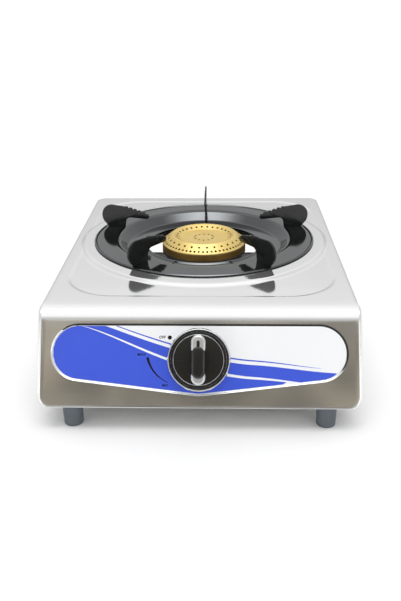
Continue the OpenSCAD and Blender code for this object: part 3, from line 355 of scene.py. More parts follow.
# %% Lead from the igniter to the electrode
LEAD_R, LEAD_STEPS = 1.5, 6
knots = [(21.5, -149.575, 41.522), (21.5, -139.863, 36.358), (46.08, -103.29, 32.1), (60.16, -45.69, 29.85),
         (64, 24.71, 29.1), (51.2, 75.91, 30.6), (19.2, 95.11, 40.1), (0, 80.71, 59), (0, 80.71, 70)]
knots = [Vector(k) for k in knots]


def through(i, t):
    """A point between knots i and i + 1 on the smooth curve through them all."""
    a, b, c, d = (knots[min(max(j, 0), len(knots) - 1)] for j in range(i - 1, i + 3))
    return (b + t / 2 * (c - a) + t * t / 2 * (2 * a - 5 * b + 4 * c - d)
            + t ** 3 / 2 * (3 * b - a - 3 * c + d))


route = [through(i, k / LEAD_STEPS) for i in range(1, len(knots) - 2) for k in range(LEAD_STEPS)]
route = [MM * p for p in knots[:1] + route + knots[-2:]]
lead_curve = bpy.data.curves.new("lead_skin", "CURVE")
lead_curve.dimensions, lead_curve.use_fill_caps = "3D", True
lead_curve.bevel_depth, lead_curve.bevel_resolution = LEAD_R * MM, 3
spline = lead_curve.splines.new("POLY")
spline.points.add(len(route) - 1)
for point, at in zip(spline.points, route):
    point.co = (*at, 1)
lead = bpy.data.objects.new("lead_skin", lead_curve)
lead.data.materials.append(silicone_skin)
bpy.context.scene.collection.objects.link(lead)
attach(lead, "stove_frame")
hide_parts("ignition_lead")

# %% [markdown]
# ## The pressed shell
# One sheet makes the top, the walls and the turned-in flanges, so it is one skin here too. Rows
# of points run round the stove, from the rim of the burner's well out over the top, round the
# bends, down the walls and under. Every row has the same number of points, so neighbouring rows
# can simply be bridged. A Solidify modifier then gives the skin the sheet's thickness.

# %% Where the outside of the shell lies at each height
front_y, back_y, side_x = shell_low.y, shell_high.y, shell_high.x
floor_z, top_z, collar_z = shell_low.z, shell_high.z - 2, shell_high.z
SHEET = 1.0
FRONT_BEND, SIDE_BEND, BACK_BEND, LOWER_BEND, FOLD = 20.0, 5.0, 6.0, 10.0, 0.5
END_FLANGE, SIDE_FLANGE = 36.0, 20.0
GAP_X, GAP_LOW, GAP_HIGH = 95.0, 27.0, 44.0
bend_y = front_y + (FRONT_BEND + (top_z - FRONT_BEND - floor_z) * math.sin(lean)) / math.cos(lean)
fold_y = front_y + FOLD * (1 + math.sin(lean)) / math.cos(lean)


def arc(r, z, middle):
    """How far a bend of radius r reaches beyond its middle at a height."""
    return math.sqrt(max(0.0, r * r - (z - middle) ** 2))


def front_at(z):
    if z > top_z - FRONT_BEND * (1 - math.sin(lean)):
        return bend_y - arc(FRONT_BEND, z, top_z - FRONT_BEND)
    if z < floor_z + FOLD * (1 + math.sin(lean)):
        return fold_y - arc(FOLD, z, floor_z + FOLD)
    return front_y + (z - floor_z) * math.tan(lean)


def back_at(z):
    if z > top_z - BACK_BEND:
        return back_y - BACK_BEND + arc(BACK_BEND, z, top_z - BACK_BEND)
    return back_y - FOLD + arc(FOLD, z, floor_z + FOLD) if z < floor_z + FOLD else back_y


def side_at(z):
    if z > top_z - SIDE_BEND:
        return side_x - SIDE_BEND + arc(SIDE_BEND, z, top_z - SIDE_BEND)
    if z < floor_z + LOWER_BEND:
        return side_x - LOWER_BEND + arc(LOWER_BEND, z, floor_z + LOWER_BEND)
    return side_x


print(f"front bend starts at y {bend_y:.2f}, fold at y {fold_y:.2f}")

# %% One row of points round the shell
HALF_END, CORNER, SIDE = 36, 8, 72
GAP_COLUMNS = 25


def row(heights, front_r, back_r, flange=None):
    """A closed row: heights of its front, sides and back, corner radii, and a flange's own reach."""
    zf, zs, zb = heights
    reach_f, reach_b = (lambda z: flange[0], lambda z: flange[2]) if flange else (front_at, back_at)
    reach_s = (lambda z: flange[1]) if flange else side_at
    half = [((reach_s(zf) - front_r) * k / HALF_END, reach_f(zf), zf) for k in range(HALF_END + 1)]
    for k in range(1, CORNER + 1):
        a, z = math.pi / 2 * k / CORNER, zf + (zs - zf) * smooth(0, 1, k / CORNER)
        half.append((reach_s(z) - front_r * (1 - math.sin(a)), reach_f(z) + front_r * (1 - math.cos(a)), z))
    start, end = reach_f(zs) + front_r, reach_b(zs) - back_r
    half += [(reach_s(zs), start + (end - start) * k / SIDE, zs) for k in range(1, SIDE + 1)]
    for k in range(1, CORNER + 1):
        a, z = math.pi / 2 * k / CORNER, zs + (zb - zs) * smooth(0, 1, k / CORNER)
        half.append((reach_s(z) - back_r * (1 - math.cos(a)), reach_b(z) - back_r * (1 - math.sin(a)), z))
    x = reach_s(zb)
    outer = HALF_END - GAP_COLUMNS
    half += [(x - back_r - (x - back_r - GAP_X) * k / outer, reach_b(zb), zb) for k in range(1, outer + 1)]
    half += [(GAP_X * (1 - k / GAP_COLUMNS), reach_b(zb), zb) for k in range(1, GAP_COLUMNS + 1)]
    return half + [(-x, y, z) for x, y, z in half[-2:0:-1]]


COLUMNS = 2 * (HALF_END + CORNER + SIDE + CORNER + HALF_END)
print("columns in a row:", len(row((60, 60, 60), 4, 14)), "expected", COLUMNS)

# %% Rows down the bends and walls and along the flanges
BEND_STEPS, WALL_STEPS, FOLD_STEPS = 16, 40, 8
turn = math.pi / 2 - lean
rows = []
for k in range(BEND_STEPS + 1):
    t = k / BEND_STEPS
    rows.append(row((top_z - FRONT_BEND * (1 - math.cos(turn * t)),
                     top_z - SIDE_BEND * (1 - math.cos(math.pi / 2 * t)),
                     top_z - BACK_BEND * (1 - math.cos(math.pi / 2 * t))), 2 + 2 * t, 9 + 5 * t))
front_high, front_low = top_z - FRONT_BEND * (1 - math.sin(lean)), floor_z + FOLD * (1 + math.sin(lean))
gap_first, gap_last = round(WALL_STEPS * 0.75), WALL_STEPS - 1
back_high = top_z - BACK_BEND
for k in range(1, WALL_STEPS + 1):
    t = k / WALL_STEPS
    if k <= gap_first:
        zb = back_high - k / gap_first * (back_high - GAP_HIGH)
    elif k <= gap_last:
        zb = GAP_HIGH - (k - gap_first) / (gap_last - gap_first) * (GAP_HIGH - GAP_LOW)
    else:
        zb = floor_z + FOLD
    rows.append(row((front_high + t * (front_low - front_high),
                     top_z - SIDE_BEND + t * (floor_z + LOWER_BEND - top_z + SIDE_BEND), zb), 4, 14))
for k in range(1, FOLD_STEPS + 1):
    t = k / FOLD_STEPS
    rows.append(row((floor_z + FOLD * (1 + math.cos(turn + t * (math.pi - turn))),
                     floor_z + LOWER_BEND * (1 - math.sin(math.pi / 2 * t)),
                     floor_z + FOLD * (1 - math.sin(math.pi / 2 * t))), 4 - t, 14 - 4 * t))
for t in (0.3, 0.65, 1.0):
    rows.append(row((floor_z, floor_z, floor_z), 3, 10,
                    (fold_y + t * (front_y + END_FLANGE - fold_y),
                     side_x - LOWER_BEND - t * (SIDE_FLANGE - LOWER_BEND),
                     back_y - FOLD - t * (END_FLANGE - FOLD))))
print("rows outside the top:", len(rows))

# %% [markdown]
# The top is drawn along rays from the burner's middle, because two shapes meet on it: a round
# collar that carries the dish, and a sunk panel with rounded corners. Each is a simple rule for
# a height, and the higher of the two wins, with a little rounding where they cross. Points
# crowd together where the height changes, so that the pressed edges stay crisp.

# %% Height of the top sheet
WELL_R, COLLAR_R, COLLAR_FOOT, COLLAR_LONG = 119.0, 137.0, 143.0, 4.5
PANEL_X, PANEL_R, PANEL_SINK, STEP_HALF = 134.0, 50.0, 0.8, 2.2
PANEL_FALL, FALL_LENGTH, PANEL_BACK, PANEL_LENGTH = 0.6, 24.0, 21.0, 318.0
COLLAR_H, BLEND = 4.0, 0.25
panel_high = back_y - PANEL_BACK
panel_low = panel_high - PANEL_LENGTH
panel_mid, panel_half = (panel_low + panel_high) / 2, (panel_high - panel_low) / 2


def past_panel(x, y):
    """Distance of a point outside the sunk panel's edge, negative inside it."""
    dx, dy = abs(x) - PANEL_X + PANEL_R, abs(y - panel_mid) - panel_half + PANEL_R
    return math.hypot(max(dx, 0), max(dy, 0)) + min(max(dx, dy), 0) - PANEL_R


def top_height(x, y):
    fall = PANEL_FALL * max(0, (burner_y - COLLAR_FOOT - y) / FALL_LENGTH) ** 2
    sheet = top_z - (PANEL_SINK + fall) * (1 - smooth(-STEP_HALF, STEP_HALF, past_panel(x, y)))
    r = math.hypot(x, y - burner_y)
    r -= COLLAR_LONG * smooth(0.2, 1, (burner_y - y) / r)
    collar = collar_z - COLLAR_H * smooth(COLLAR_R - 0.5, COLLAR_FOOT, r) - max(0, r - COLLAR_FOOT)
    return max(sheet, collar) + BLEND * max(0, 1 - abs(sheet - collar)) ** 2


print(f"panel from y {panel_low:.1f} to {panel_high:.1f} mm")

# %% Rows of the top, from the well's turned-down hem to the bends
CLEAR_R = 146.0


def top_column(x, y):
    """Points along one ray, from the hem to a point of the outermost row of the top."""
    far = math.hypot(x, y - burner_y)
    dx, dy = x / far, (y - burner_y) / far
    low = crossing(lambda r: past_panel(dx * r, burner_y + dy * r) < 0, 100.0, far)
    square = max(0.4, abs(dx) if abs(dx) > abs(dy) else abs(dy))
    longer = COLLAR_LONG * smooth(0.2, 1, -dy)
    reach = [COLLAR_R + longer + d for d in (-9, -3, -1.5, 0, 1.5, 3, 4.5, 6, 7.5)]
    reach += [low + d * STEP_HALF / square for d in (-1.2, -0.9, -0.6, -0.3, 0, 0.3, 0.6, 0.9, 1.2)]
    reach += [CLEAR_R + (far - CLEAR_R) * k / 8 for k in range(1, 8)]
    reach = sorted(reach)
    for i in range(1, len(reach)):
        reach[i] = max(reach[i], reach[i - 1] + 0.1)
    reach = [min(r, far - 0.1 * (len(reach) - i)) for i, r in enumerate(reach)]
    hem = [(WELL_R, collar_z - 6), (WELL_R, collar_z - 2.5), (WELL_R, collar_z - 0.9),
           (WELL_R + 0.25, collar_z - 0.3), (WELL_R + 0.9, collar_z), (WELL_R + 3, collar_z)]
    points = hem + [(r, top_height(dx * r, burner_y + dy * r)) for r in reach]
    return [(dx * r, burner_y + dy * r, z) for r, z in points]


columns = [top_column(x, y) for x, y, z in rows[0]]
top_rows = [list(points) for points in zip(*columns)]
print("rows on the top:", len(top_rows))

# %% [markdown]
# The label lies in a shallow pressed recess with round ends, swelling round the knob. Its
# outline is the hull of three circles, and the distance to that hull gives every line of the
# recess: a step of rings about the knob goes from the flat wall over the rim down to the floor.
# The slopes at the top and at the right are painted near-black as painted shade.

# %% The label's recess as rings about the knob
LABEL_END_X, LABEL_END_V, LABEL_END_R, LABEL_MID_R = 110.6, 6.5, 25.4, 31.9
STEM_HOLE, LABEL_SINK = 6.0, 1.2


def past_label(u, v):
    """Distance outside the label's recess, whose middle is the knob."""
    reach = math.hypot(LABEL_END_X, LABEL_END_V)
    along = (abs(u) * LABEL_END_X + v * LABEL_END_V) / reach
    across = abs(-abs(u) * LABEL_END_V + v * LABEL_END_X) / reach
    taper = (LABEL_MID_R - LABEL_END_R) / reach
    flat = math.sqrt(1 - taper * taper)
    place = flat * along - taper * across
    if place < 0:
        return math.hypot(u, v) - LABEL_MID_R
    if place > flat * reach:
        return math.hypot(along - reach, across) - LABEL_END_R
    return flat * across + taper * along - LABEL_MID_R


def label_ray(u, v, grow):
    """Where a ray from the knob towards (u, v) crosses the recess's outline, grown by a distance."""
    share = crossing(lambda t: past_label(u * t, v * t) < grow, 0.0, 2.0)
    return u * share, v * share


FRONT_COLUMNS = HALF_END - 1
patch_top, patch_low = BEND_STEPS + 1, BEND_STEPS + WALL_STEPS - 2
spans = [(i, j) for i in range(patch_top, patch_low) for j in range(-FRONT_COLUMNS, FRONT_COLUMNS)]
edge = [(patch_top, j) for j in range(-FRONT_COLUMNS, FRONT_COLUMNS)]
edge += [(i, FRONT_COLUMNS) for i in range(patch_top, patch_low)]
edge += [(patch_low, j) for j in range(FRONT_COLUMNS, -FRONT_COLUMNS, -1)]
edge += [(i, -FRONT_COLUMNS) for i in range(patch_low, patch_top, -1)]
print("points on the edge of the recess's patch:", len(edge))

# %% Bridge the rows into the shell
to_front = front.inverted()
every = top_rows + rows
first = len(top_rows)
verts = [p for line in every for p in line]
index = lambda i, j: i * COLUMNS + j % COLUMNS
holes = {(first + i, j % COLUMNS) for i, j in spans}
gap_from = HALF_END + CORNER + SIDE + CORNER + HALF_END - GAP_COLUMNS
holes |= {(first + BEND_STEPS + i, j) for i in range(gap_first, gap_last)
          for j in range(gap_from, gap_from + 2 * GAP_COLUMNS)}
faces = [(index(i, j), index(i, j + 1), index(i + 1, j + 1), index(i + 1, j))
         for i in range(len(every) - 1) for j in range(COLUMNS) if (i, j) not in holes]
ring = [index(first + i, j) for i, j in edge]
flat = [to_front @ Vector(verts[k]) for k in ring]
SLOPE_FROM = 1.0
steps = [(1.4, 0), (1.2, 0), (SLOPE_FROM, -0.06), (0.75, -0.25), (0.4, -0.6), (0.05, -0.95),
         (-0.2, -1.15), (-0.6, -LABEL_SINK)]
circles = [28.0, 16.0, STEM_HOLE]
for grow, sink in steps + [(None, -LABEL_SINK)] * len(circles):
    if grow == SLOPE_FROM:
        slope_faces = len(faces)
    size = circles.pop(0) if grow is None else None
    fresh = list(range(len(verts), len(verts) + len(flat)))
    for p in flat:
        u, v = label_ray(p.x, p.y, grow) if size is None else (Vector((p.x, p.y)).normalized() * size)
        verts.append(tuple(front @ Vector((u, v, sink + flat[0].z))))
    faces += [(ring[k - 1], ring[k], fresh[k], fresh[k - 1]) for k in range(len(ring))]
    ring = fresh
print("shell skin:", len(verts), "points,", len(faces), "faces")

# %% [markdown]
# ## Keeping a result as a plain mesh
# Modifiers and node trees are live recipes. Each finished piece is evaluated once and keeps the
# mesh, so that nothing has to be worked out again in another program. One function then gives a
# piece its finish, the body that it moves with, and the CAD solids that it stands for.

# %% Settle, thicken and fit a piece
def settle(piece, sharp=40):
    """Replace a piece's mesh by what its modifiers make of it."""
    graph = bpy.context.evaluated_depsgraph_get()
    made = bpy.data.meshes.new_from_object(piece.evaluated_get(graph))
    piece.modifiers.clear()
    piece.data = made
    made.name = piece.name
    made.shade_smooth()
    made.set_sharp_from_angle(angle=math.radians(sharp))


def fit(piece, finish, body, slot, *nodes):
    if finish:
        piece.data.materials.clear()
        piece.data.materials.append(finish)
    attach(piece, body)
    if nodes:
        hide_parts(*nodes)
    print(piece.name, "has", len(piece.data.polygons), "faces")


shell = mesh_piece("pressed_shell", verts, faces)
highest = max(shell.data.polygons, key=lambda f: f.center.z)
if highest.normal.z < 0:
    shell.data.flip_normals()
wall = shell.modifiers.new("sheet", "SOLIDIFY")
wall.thickness, wall.offset, wall.use_even_offset = SHEET * MM, -1, True
for finish in (stainless, shaded_mill_side, recess_painted_shade):
    shell.data.materials.append(finish)
# Painted shade: recess slopes that face down or to the left, the top and right walls, get the near-black
# finish.
for face in shell.data.polygons[slope_faces:]:
    facing = to_front.to_3x3() @ face.normal
    face.material_index = 2 if facing.x + facing.y < -0.1 else 0
# The inner side takes the darkened mill finish, painted shade inside the shell.
wall.material_offset = 1
settle(shell)
fit(shell, None, "stove_frame", "stainless", "hob_shell")

# %% [markdown]
# ## Two node trees
# Holes and copies repeat all over a stove, so each gets one Geometry Nodes tree with named
# inputs. The first drills a ring of holes: it sets points on a circle, stands a leaning pin on
# each, and subtracts the pins. The second puts a copy of a piece on every point of a mesh and
# turns each copy a step further than the last. Both end in plain geometry with its material.

# %% A tree's frame, and running it on a piece
def new_tree(name, sockets):
    tree = bpy.data.node_groups.new(name, "GeometryNodeTree")
    for label, kind in sockets.items():
        tree.interface.new_socket(label, in_out="INPUT", socket_type="NodeSocket" + kind)
    tree.interface.new_socket("Geometry", in_out="OUTPUT", socket_type="NodeSocketGeometry")
    return tree, add(tree, "NodeGroupInput").outputs


def run(piece, tree, values):
    """Run a tree on a piece with its inputs set by identifier, and keep the mesh."""
    recipe = piece.modifiers.new(tree.name, "NODES")
    recipe.node_group = tree
    for item in tree.interface.items_tree:
        if item.in_out == "INPUT" and item.name in values:
            recipe[item.identifier] = values[item.name]
    settle(piece)


def close_tree(tree, geometry, material):
    """End a tree in Realize Instances and Set Material."""
    whole = add(tree, "GeometryNodeRealizeInstances", {"Geometry": geometry})
    dressed = add(tree, "GeometryNodeSetMaterial", {"Geometry": whole.outputs[0], "Material": material})
    add(tree, "NodeGroupOutput", {0: dressed.outputs[0]})


# %% Tree that drills a ring of holes
drill, given = new_tree("drill_a_ring", {
    "Geometry": "Geometry", "Count": "Int", "First Angle": "Float", "Step": "Float", "Ring Radius": "Float",
    "Hole Radius": "Float", "Depth": "Float", "Lean": "Float", "Centre": "Vector", "Material": "Material"})
spots = add(drill, "GeometryNodePoints", {"Count": given["Count"]})
angle = add(drill, "ShaderNodeMath", {0: add(drill, "GeometryNodeInputIndex").outputs[0], 1: given["Step"],
                                      2: given["First Angle"]}, operation="MULTIPLY_ADD").outputs[0]
spin = add(drill, "ShaderNodeCombineXYZ", {"Y": given["Lean"], "Z": angle}).outputs[0]
arm = add(drill, "ShaderNodeCombineXYZ", {"X": given["Ring Radius"]}).outputs[0]
swung = add(drill, "ShaderNodeVectorRotate", {"Vector": arm, "Angle": angle},
            rotation_type="Z_AXIS").outputs[0]
at = add(drill, "ShaderNodeVectorMath", {0: swung, 1: given["Centre"]}, operation="ADD").outputs[0]
placed = add(drill, "GeometryNodeSetPosition", {"Geometry": spots.outputs[0], "Position": at})
pin = add(drill, "GeometryNodeMeshCylinder",
          {"Vertices": 14, "Radius": given["Hole Radius"], "Depth": given["Depth"]}).outputs["Mesh"]
pins = add(drill, "GeometryNodeInstanceOnPoints",
           {"Points": placed.outputs[0], "Instance": pin, "Rotation": spin})
solid_pins = add(drill, "GeometryNodeRealizeInstances", {"Geometry": pins.outputs[0]})
cut = add(drill, "GeometryNodeMeshBoolean", {"Mesh 1": given["Geometry"], "Mesh 2": solid_pins.outputs[0]},
          operation="DIFFERENCE", solver="MANIFOLD")
close_tree(drill, cut.outputs["Mesh"], given["Material"])
def pierce(piece, finish, count, ring, hole, depth, centre, first=0.0, step=0.0, tilt=0.0):
    """Drill a ring of holes in a piece; lengths in millimetres, angles in radians."""
    run(piece, drill, {"Count": count, "First Angle": first, "Step": step, "Ring Radius": ring * MM,
                       "Hole Radius": hole * MM, "Depth": depth * MM, "Lean": tilt,
                       "Centre": tuple(MM * c for c in centre), "Material": finish})


print("tree", drill.name, "with", len(drill.nodes), "nodes")

# %% Tree that copies a piece to points
copies, given = new_tree("copy_to_points", {
    "Geometry": "Geometry", "Piece": "Object", "First Turn": "Float", "Turn Step": "Float",
    "Material": "Material"})
model = add(copies, "GeometryNodeObjectInfo", {"Object": given["Piece"]})
angle = add(copies, "ShaderNodeMath", {
    0: add(copies, "GeometryNodeInputIndex").outputs[0], 1: given["Turn Step"], 2: given["First Turn"]},
    operation="MULTIPLY_ADD")
spin = add(copies, "ShaderNodeCombineXYZ", {"Z": angle.outputs[0]})
many = add(copies, "GeometryNodeInstanceOnPoints", {
    "Points": given["Geometry"], "Instance": model.outputs["Geometry"], "Rotation": spin.outputs[0]})
close_tree(copies, many.outputs[0], given["Material"])


def repeat(name, model, spots, finish, first=0.0, step=0.0):
    """Copies of a model piece on spots in millimetres, each turned a step further, as one mesh."""
    piece = mesh_piece(name, spots, [])
    run(piece, copies, {"Piece": model, "First Turn": first, "Turn Step": step, "Material": finish})
    bpy.data.objects.remove(model)
    return piece


print("tree", copies.name, "with", len(copies.nodes), "nodes")

# %% [markdown]
# ## The drip dish
# The dish is spun or pressed from one round blank, so its section says it all: a rolled rim, a
# flange that rests on the collar and falls a little to the outside, a slope, a floor, and a
# small bead round the hole for the burner. The section is drawn once and spun. Two drain holes
# are drilled by the tree.

# %% Dish
DISH_R, DISH_BEND, DISH_FOOT, DISH_HOLE, DISH_T = 125.6, 98.0, 88.0, 65.0, 1.0
BEAD_H, LIP_H, FLANGE_FALL = 1.6, 0.9, 1.0
flange_z = collar_z + DISH_T
floor_top = dish_low.z + DISH_T
section = [(DISH_HOLE, dish_low.z), (DISH_FOOT + 0.5, dish_low.z), (DISH_BEND + 0.5, collar_z + FLANGE_FALL),
           (DISH_R - 3.6, collar_z), (DISH_R - 2, collar_z + LIP_H), (DISH_R, collar_z + LIP_H),
           (DISH_R, collar_z + LIP_H + 0.2), (DISH_R - 1.2, flange_z + LIP_H + 0.1),
           (DISH_R - 2, flange_z + LIP_H), (DISH_R - 3, flange_z), (DISH_BEND, flange_z + FLANGE_FALL),
           (DISH_FOOT, floor_top), (DISH_HOLE + 3.2, floor_top),
           (DISH_HOLE + 1.4, floor_top + BEAD_H), (DISH_HOLE, floor_top + BEAD_H)]
section = soften(section, [0.3, 3, 5, 0.6, 0.6, 0.1, 0.1, 0.4, 0.5, 0.5, 10, 4, 0.8, 0.8, 0.4], steps=8)
on_burner = Matrix.Translation((0, burner_y, 0))
dish = mesh_piece("drip_dish_spun", *lathe(section, 160), place=on_burner)
DRAIN_RING, DRAIN_R, DRAIN_FIRST, DRAIN_STEP = 70.0, 1.5, math.radians(-117), math.radians(54)
pierce(dish, dark_coat, 2, DRAIN_RING, DRAIN_R, 6, (0, burner_y, floor_top), DRAIN_FIRST, DRAIN_STEP)
fit(dish, dark_coat, "pan_support", "dark_dish", "drip_dish")

# %% [markdown]
# ## The prongs
# Five steel prongs carry the pan. Each is stamped from thick plate as a curved paddle with teeth
# along the arm, so that a pan does not slip, and then enamelled. One outline, filled, given its
# thickness and a small bevel, is copied five times round the burner.

# %% One prong's outline, out from the burner and up from the dish
PRONG_R, PRONG_T, TEETH = 110.0, 2.2, 5
tip_x, tip_z, tip_r, arm_end = 71.3, 16.6, 3.2, (98.5, 26.0)
tooth_from = bow(tip_x, tip_z, tip_r, 100, 100, 1)[0]
stride = [(b - a) / TEETH for a, b in zip(tooth_from, arm_end)]
teeth = []
for i in range(TEETH):
    for share, lift in ((0.1, -0.4), (0.3, -0.4), (0.45, 1.1), (0.95, 1.1)):
        height = tooth_from[1] + stride[1] * (i + share) + lift
        teeth.append((tooth_from[0] + stride[0] * (i + share), min(height, arm_end[1] + 0.4)))
outline = [(99.5, 0.0)] + bow(91.5, 6.4, 7, 0, 90, 12) + bow(tip_x, tip_z, tip_r, 270, 100, 9)
outline += teeth + [arm_end] + bow(115.5, 13.5, 13.5, 90, -35, 18) + [(121.0, 0.0)]
loops = [[(x - PRONG_R, side * PRONG_T / 2, z) for x, z in outline] for side in (-1, 1)]
prong = mesh_piece("prong_model", *stack(loops))
edge_round = prong.modifiers.new("edges", "BEVEL")
edge_round.width, edge_round.segments, edge_round.limit_method = 0.45 * MM, 3, "ANGLE"
edge_round.angle_limit = math.radians(60)
settle(prong)

# %% Five prongs round the burner
spots = [(x, burner_y + y, flange_z) for x, y in bow(0, 0, PRONG_R, 90, 90 + 72 * 4, 4)]
prongs = repeat("pan_prongs", prong, spots, black_enamel, math.radians(90), math.radians(72))
fit(prongs, black_enamel, "pan_support", "black_enamel", *(f"prong_{k + 1}" for k in range(5)))

# %% [markdown]
# ## The burner cap
# The cap is turned brass: an upright skirt in darker brass as a painted reflection of the dark
# dish, a bevel drilled with two rings of flame ports, a crest, and a dished plate with two more rings. Lathe
# and drill, as in the
# workshop, make it. The ports are real holes into the hollow cap, and they look dark for that
# reason.

# %% Cap
cap_low, cap_high = (1000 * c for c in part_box("burner_cap"))
CAP_R, CAP_WALL, SKIRT_H, SPIGOT_H, DIP = 48.0, 2.4, 8.5, 4.0, 4.5
PLATE_R, CREST_IN, CREST_R, SPIGOT_IN, SPIGOT_R = 27.0, 35.0, 37.0, 38.0, 40.7
rim_z, crest_z = cap_low.z + SPIGOT_H, cap_high.z
shoulder_z, plate_z = rim_z + SKIRT_H, crest_z - DIP
section = [(0, plate_z - CAP_WALL), (PLATE_R, plate_z - CAP_WALL), (34.6, crest_z - 1.4 * CAP_WALL),
           (CAP_R - CAP_WALL, shoulder_z - 0.6 * CAP_WALL), (CAP_R - CAP_WALL, rim_z + CAP_WALL),
           (SPIGOT_R, rim_z + CAP_WALL), (SPIGOT_R, shoulder_z - 1), (SPIGOT_IN, shoulder_z - 1),
           (SPIGOT_IN, cap_low.z), (SPIGOT_R, cap_low.z), (SPIGOT_R, rim_z), (CAP_R, rim_z),
           (CAP_R, shoulder_z), (CREST_R, crest_z), (CREST_IN, crest_z), (PLATE_R, plate_z), (0, plate_z)]
section = soften(section, [0, 1, 1, 1, 0.5, 0.5, 0.4, 0.4, 0.5, 0.5, 0.4, 0.6, 2.0, 2.5, 2.5, 4, 0], steps=6,
                 closed=False)
cap = mesh_piece("burner_cap_turned", *lathe(section, 128, closed=False), place=on_burner)
bevel_lean = math.atan2(crest_z - shoulder_z, CAP_R - CREST_R)
dip_lean = -math.atan2(DIP, CREST_IN - PLATE_R)
rise = math.tan(bevel_lean)
rings = [(60, 45.25, shoulder_z + rise * 2.75, bevel_lean), (30, 40.85, shoulder_z + rise * 7.15, bevel_lean),
         (30, 31.0, plate_z + 2.25, dip_lean), (12, 10.8, plate_z, 0.0)]
PORT_R, DRILL_LENGTH = 1.35, 9
for number, r, z, tilt in rings:
    pierce(cap, cap_brass, number, r, PORT_R, DRILL_LENGTH, (0, burner_y, z), 0.0, 2 * math.pi / number, tilt)
cap.data.materials.clear()
for finish in (cap_brass, skirt_brass_painted_reflection):
    cap.data.materials.append(finish)
# Painted reflection: faces below the shoulder get the darker skirt brass.
for face in cap.data.polygons:
    face.material_index = int(face.center.z < (shoulder_z - 1) * MM)
fit(cap, None, "burner_cap", "cap_brass", "burner_cap")

# %% [markdown]
# ## The knob
# The knob is a glossy black cup with a grip bar across it. Bright plated ends peep out from
# under the bar: a longer one with an index line at the top, and a crescent at the bottom. The
# cup is spun. The bar and its ends are stadium outlines stacked into pillows with round edges,
# because a moulded grip has no sharp edge to hurt a thumb.

# %% Pillows on a stadium outline
def stadium(width, low, high, count=24):
    """Points round a bar of a given width that runs from low to high along v."""
    r = width / 2
    upper = bow(0, high - r, r, 0, 180, count)
    return upper + [(-u, low + r - (v - high + r)) for u, v in upper]


def pillow(width, low, high, base, top, edge):
    """A bar with an upright wall and a rounded top edge, as points and faces."""
    levels = [(0, base)] + [(edge * (1 - math.cos(a)), top - edge + edge * math.sin(a))
                            for a in (math.pi / 2 * k / 7 for k in range(8))]
    return stack([[(u, v, w) for u, v in stadium(width - 2 * inset, low + inset, high - inset)]
                  for inset, w in levels])


def together(*parts):
    """Several sets of points and faces as one."""
    verts, faces = [], []
    for more, made in parts:
        faces += [tuple(k + len(verts) for k in face) for face in made]
        verts += more
    return verts, faces


KNOB_R, KNOB_W, FACE_W, GRIP_TOP, RIM = 25.5, 3.5, 12.5, 23.5, 2.3
cup = soften([(0, FACE_W - 2.5), (KNOB_R - 3, FACE_W - 2.5), (KNOB_R - 3, KNOB_W), (KNOB_R, KNOB_W),
              (KNOB_R, FACE_W - 1.8), (KNOB_R - 1.8, FACE_W), (0, FACE_W)], [0, 1, 0.3, 0.5, 1.4, 1.4, 0],
             closed=False)
hub = soften([(4.2, KNOB_W + 4), (7, KNOB_W + 4), (7, FACE_W - 2), (4.2, FACE_W - 2)], [0.3, 0.3, 0, 0])
bar = pillow(12.2, -16.8, 12.4, FACE_W - 0.2, GRIP_TOP, 2.4)
index_line = pillow(2.8, 8.0, 17.4, FACE_W, GRIP_TOP - 0.3, 0.4)
knob = mesh_piece("knob_moulded", *together(lathe(cup, 96, closed=False), lathe(hub, 32), bar, index_line),
                  place=front)
knob.data.materials.append(knob_resin)
knob.data.materials.append(rim_resin)
for face in knob.data.polygons:
    u, v, w = to_front @ (1000 * face.center)
    face.material_index = int(math.hypot(u, v) > KNOB_R - RIM)
fit(knob, None, "knob", "black_plastic", "knob")
upper_end = pillow(13.0, 4.0, 22.5, FACE_W - 0.1, GRIP_TOP - 0.8, 2.2)
lower_end = pillow(13.0, -22.5, -8.0, FACE_W - 0.1, GRIP_TOP - 2.5, 2.2)
ends = mesh_piece("grip_ends_plated", *together(upper_end, lower_end), place=front)
fit(ends, satin_plate, "knob", "chrome_trim", "grip_inserts")

# %% [markdown]
# A thin bright ring is let into the knob's face, and a plated bezel stands round the knob on the
# label. Both are small turned rings with rounded shoulders, which catch the light as a line.

# %% Ring and bezel
RING_R, RING_W = 22.9, 0.5
thread = soften([(RING_R - RING_W / 2, FACE_W - RING_W), (RING_R + RING_W / 2, FACE_W - RING_W),
                 (RING_R + RING_W / 2, FACE_W + 0.2), (RING_R - RING_W / 2, FACE_W + 0.2)], [0, 0, 0.3, 0.3])
fit(mesh_piece("knob_ring_inlaid", *lathe(thread, 96), place=front), chrome, "knob", "chrome_trim",
    "knob_ring")
LABEL_W, BEZEL_IN, BEZEL_R, BEZEL_H = -0.8, 26.1, 29.3, 4.6
collar = soften([(BEZEL_IN, LABEL_W), (BEZEL_R, LABEL_W), (BEZEL_R, LABEL_W + 2.6),
                 (BEZEL_R - 1, LABEL_W + BEZEL_H), (BEZEL_IN + 0.8, LABEL_W + BEZEL_H),
                 (BEZEL_IN, LABEL_W + 3.4)], [0.2, 0.2, 0.9, 0.8, 0.5, 0.4])
fit(mesh_piece("bezel_plated", *lathe(collar, 128), place=front), chrome, "stove_frame", "chrome_trim",
    "knob_bezel")

# %% [markdown]
# ## The printed label
# A white film is cut to the recess, a hair smaller. The print on it is a plain wave in blue: a
# field that fills the left end, sinks under the knob and thins out to the right, with one white
# line left free in it and a fine blue line above. Each area is a very thin solid between two
# curves, trimmed to the film and cut clear of the knob, so that its edges stay crisp however near
# the camera comes.

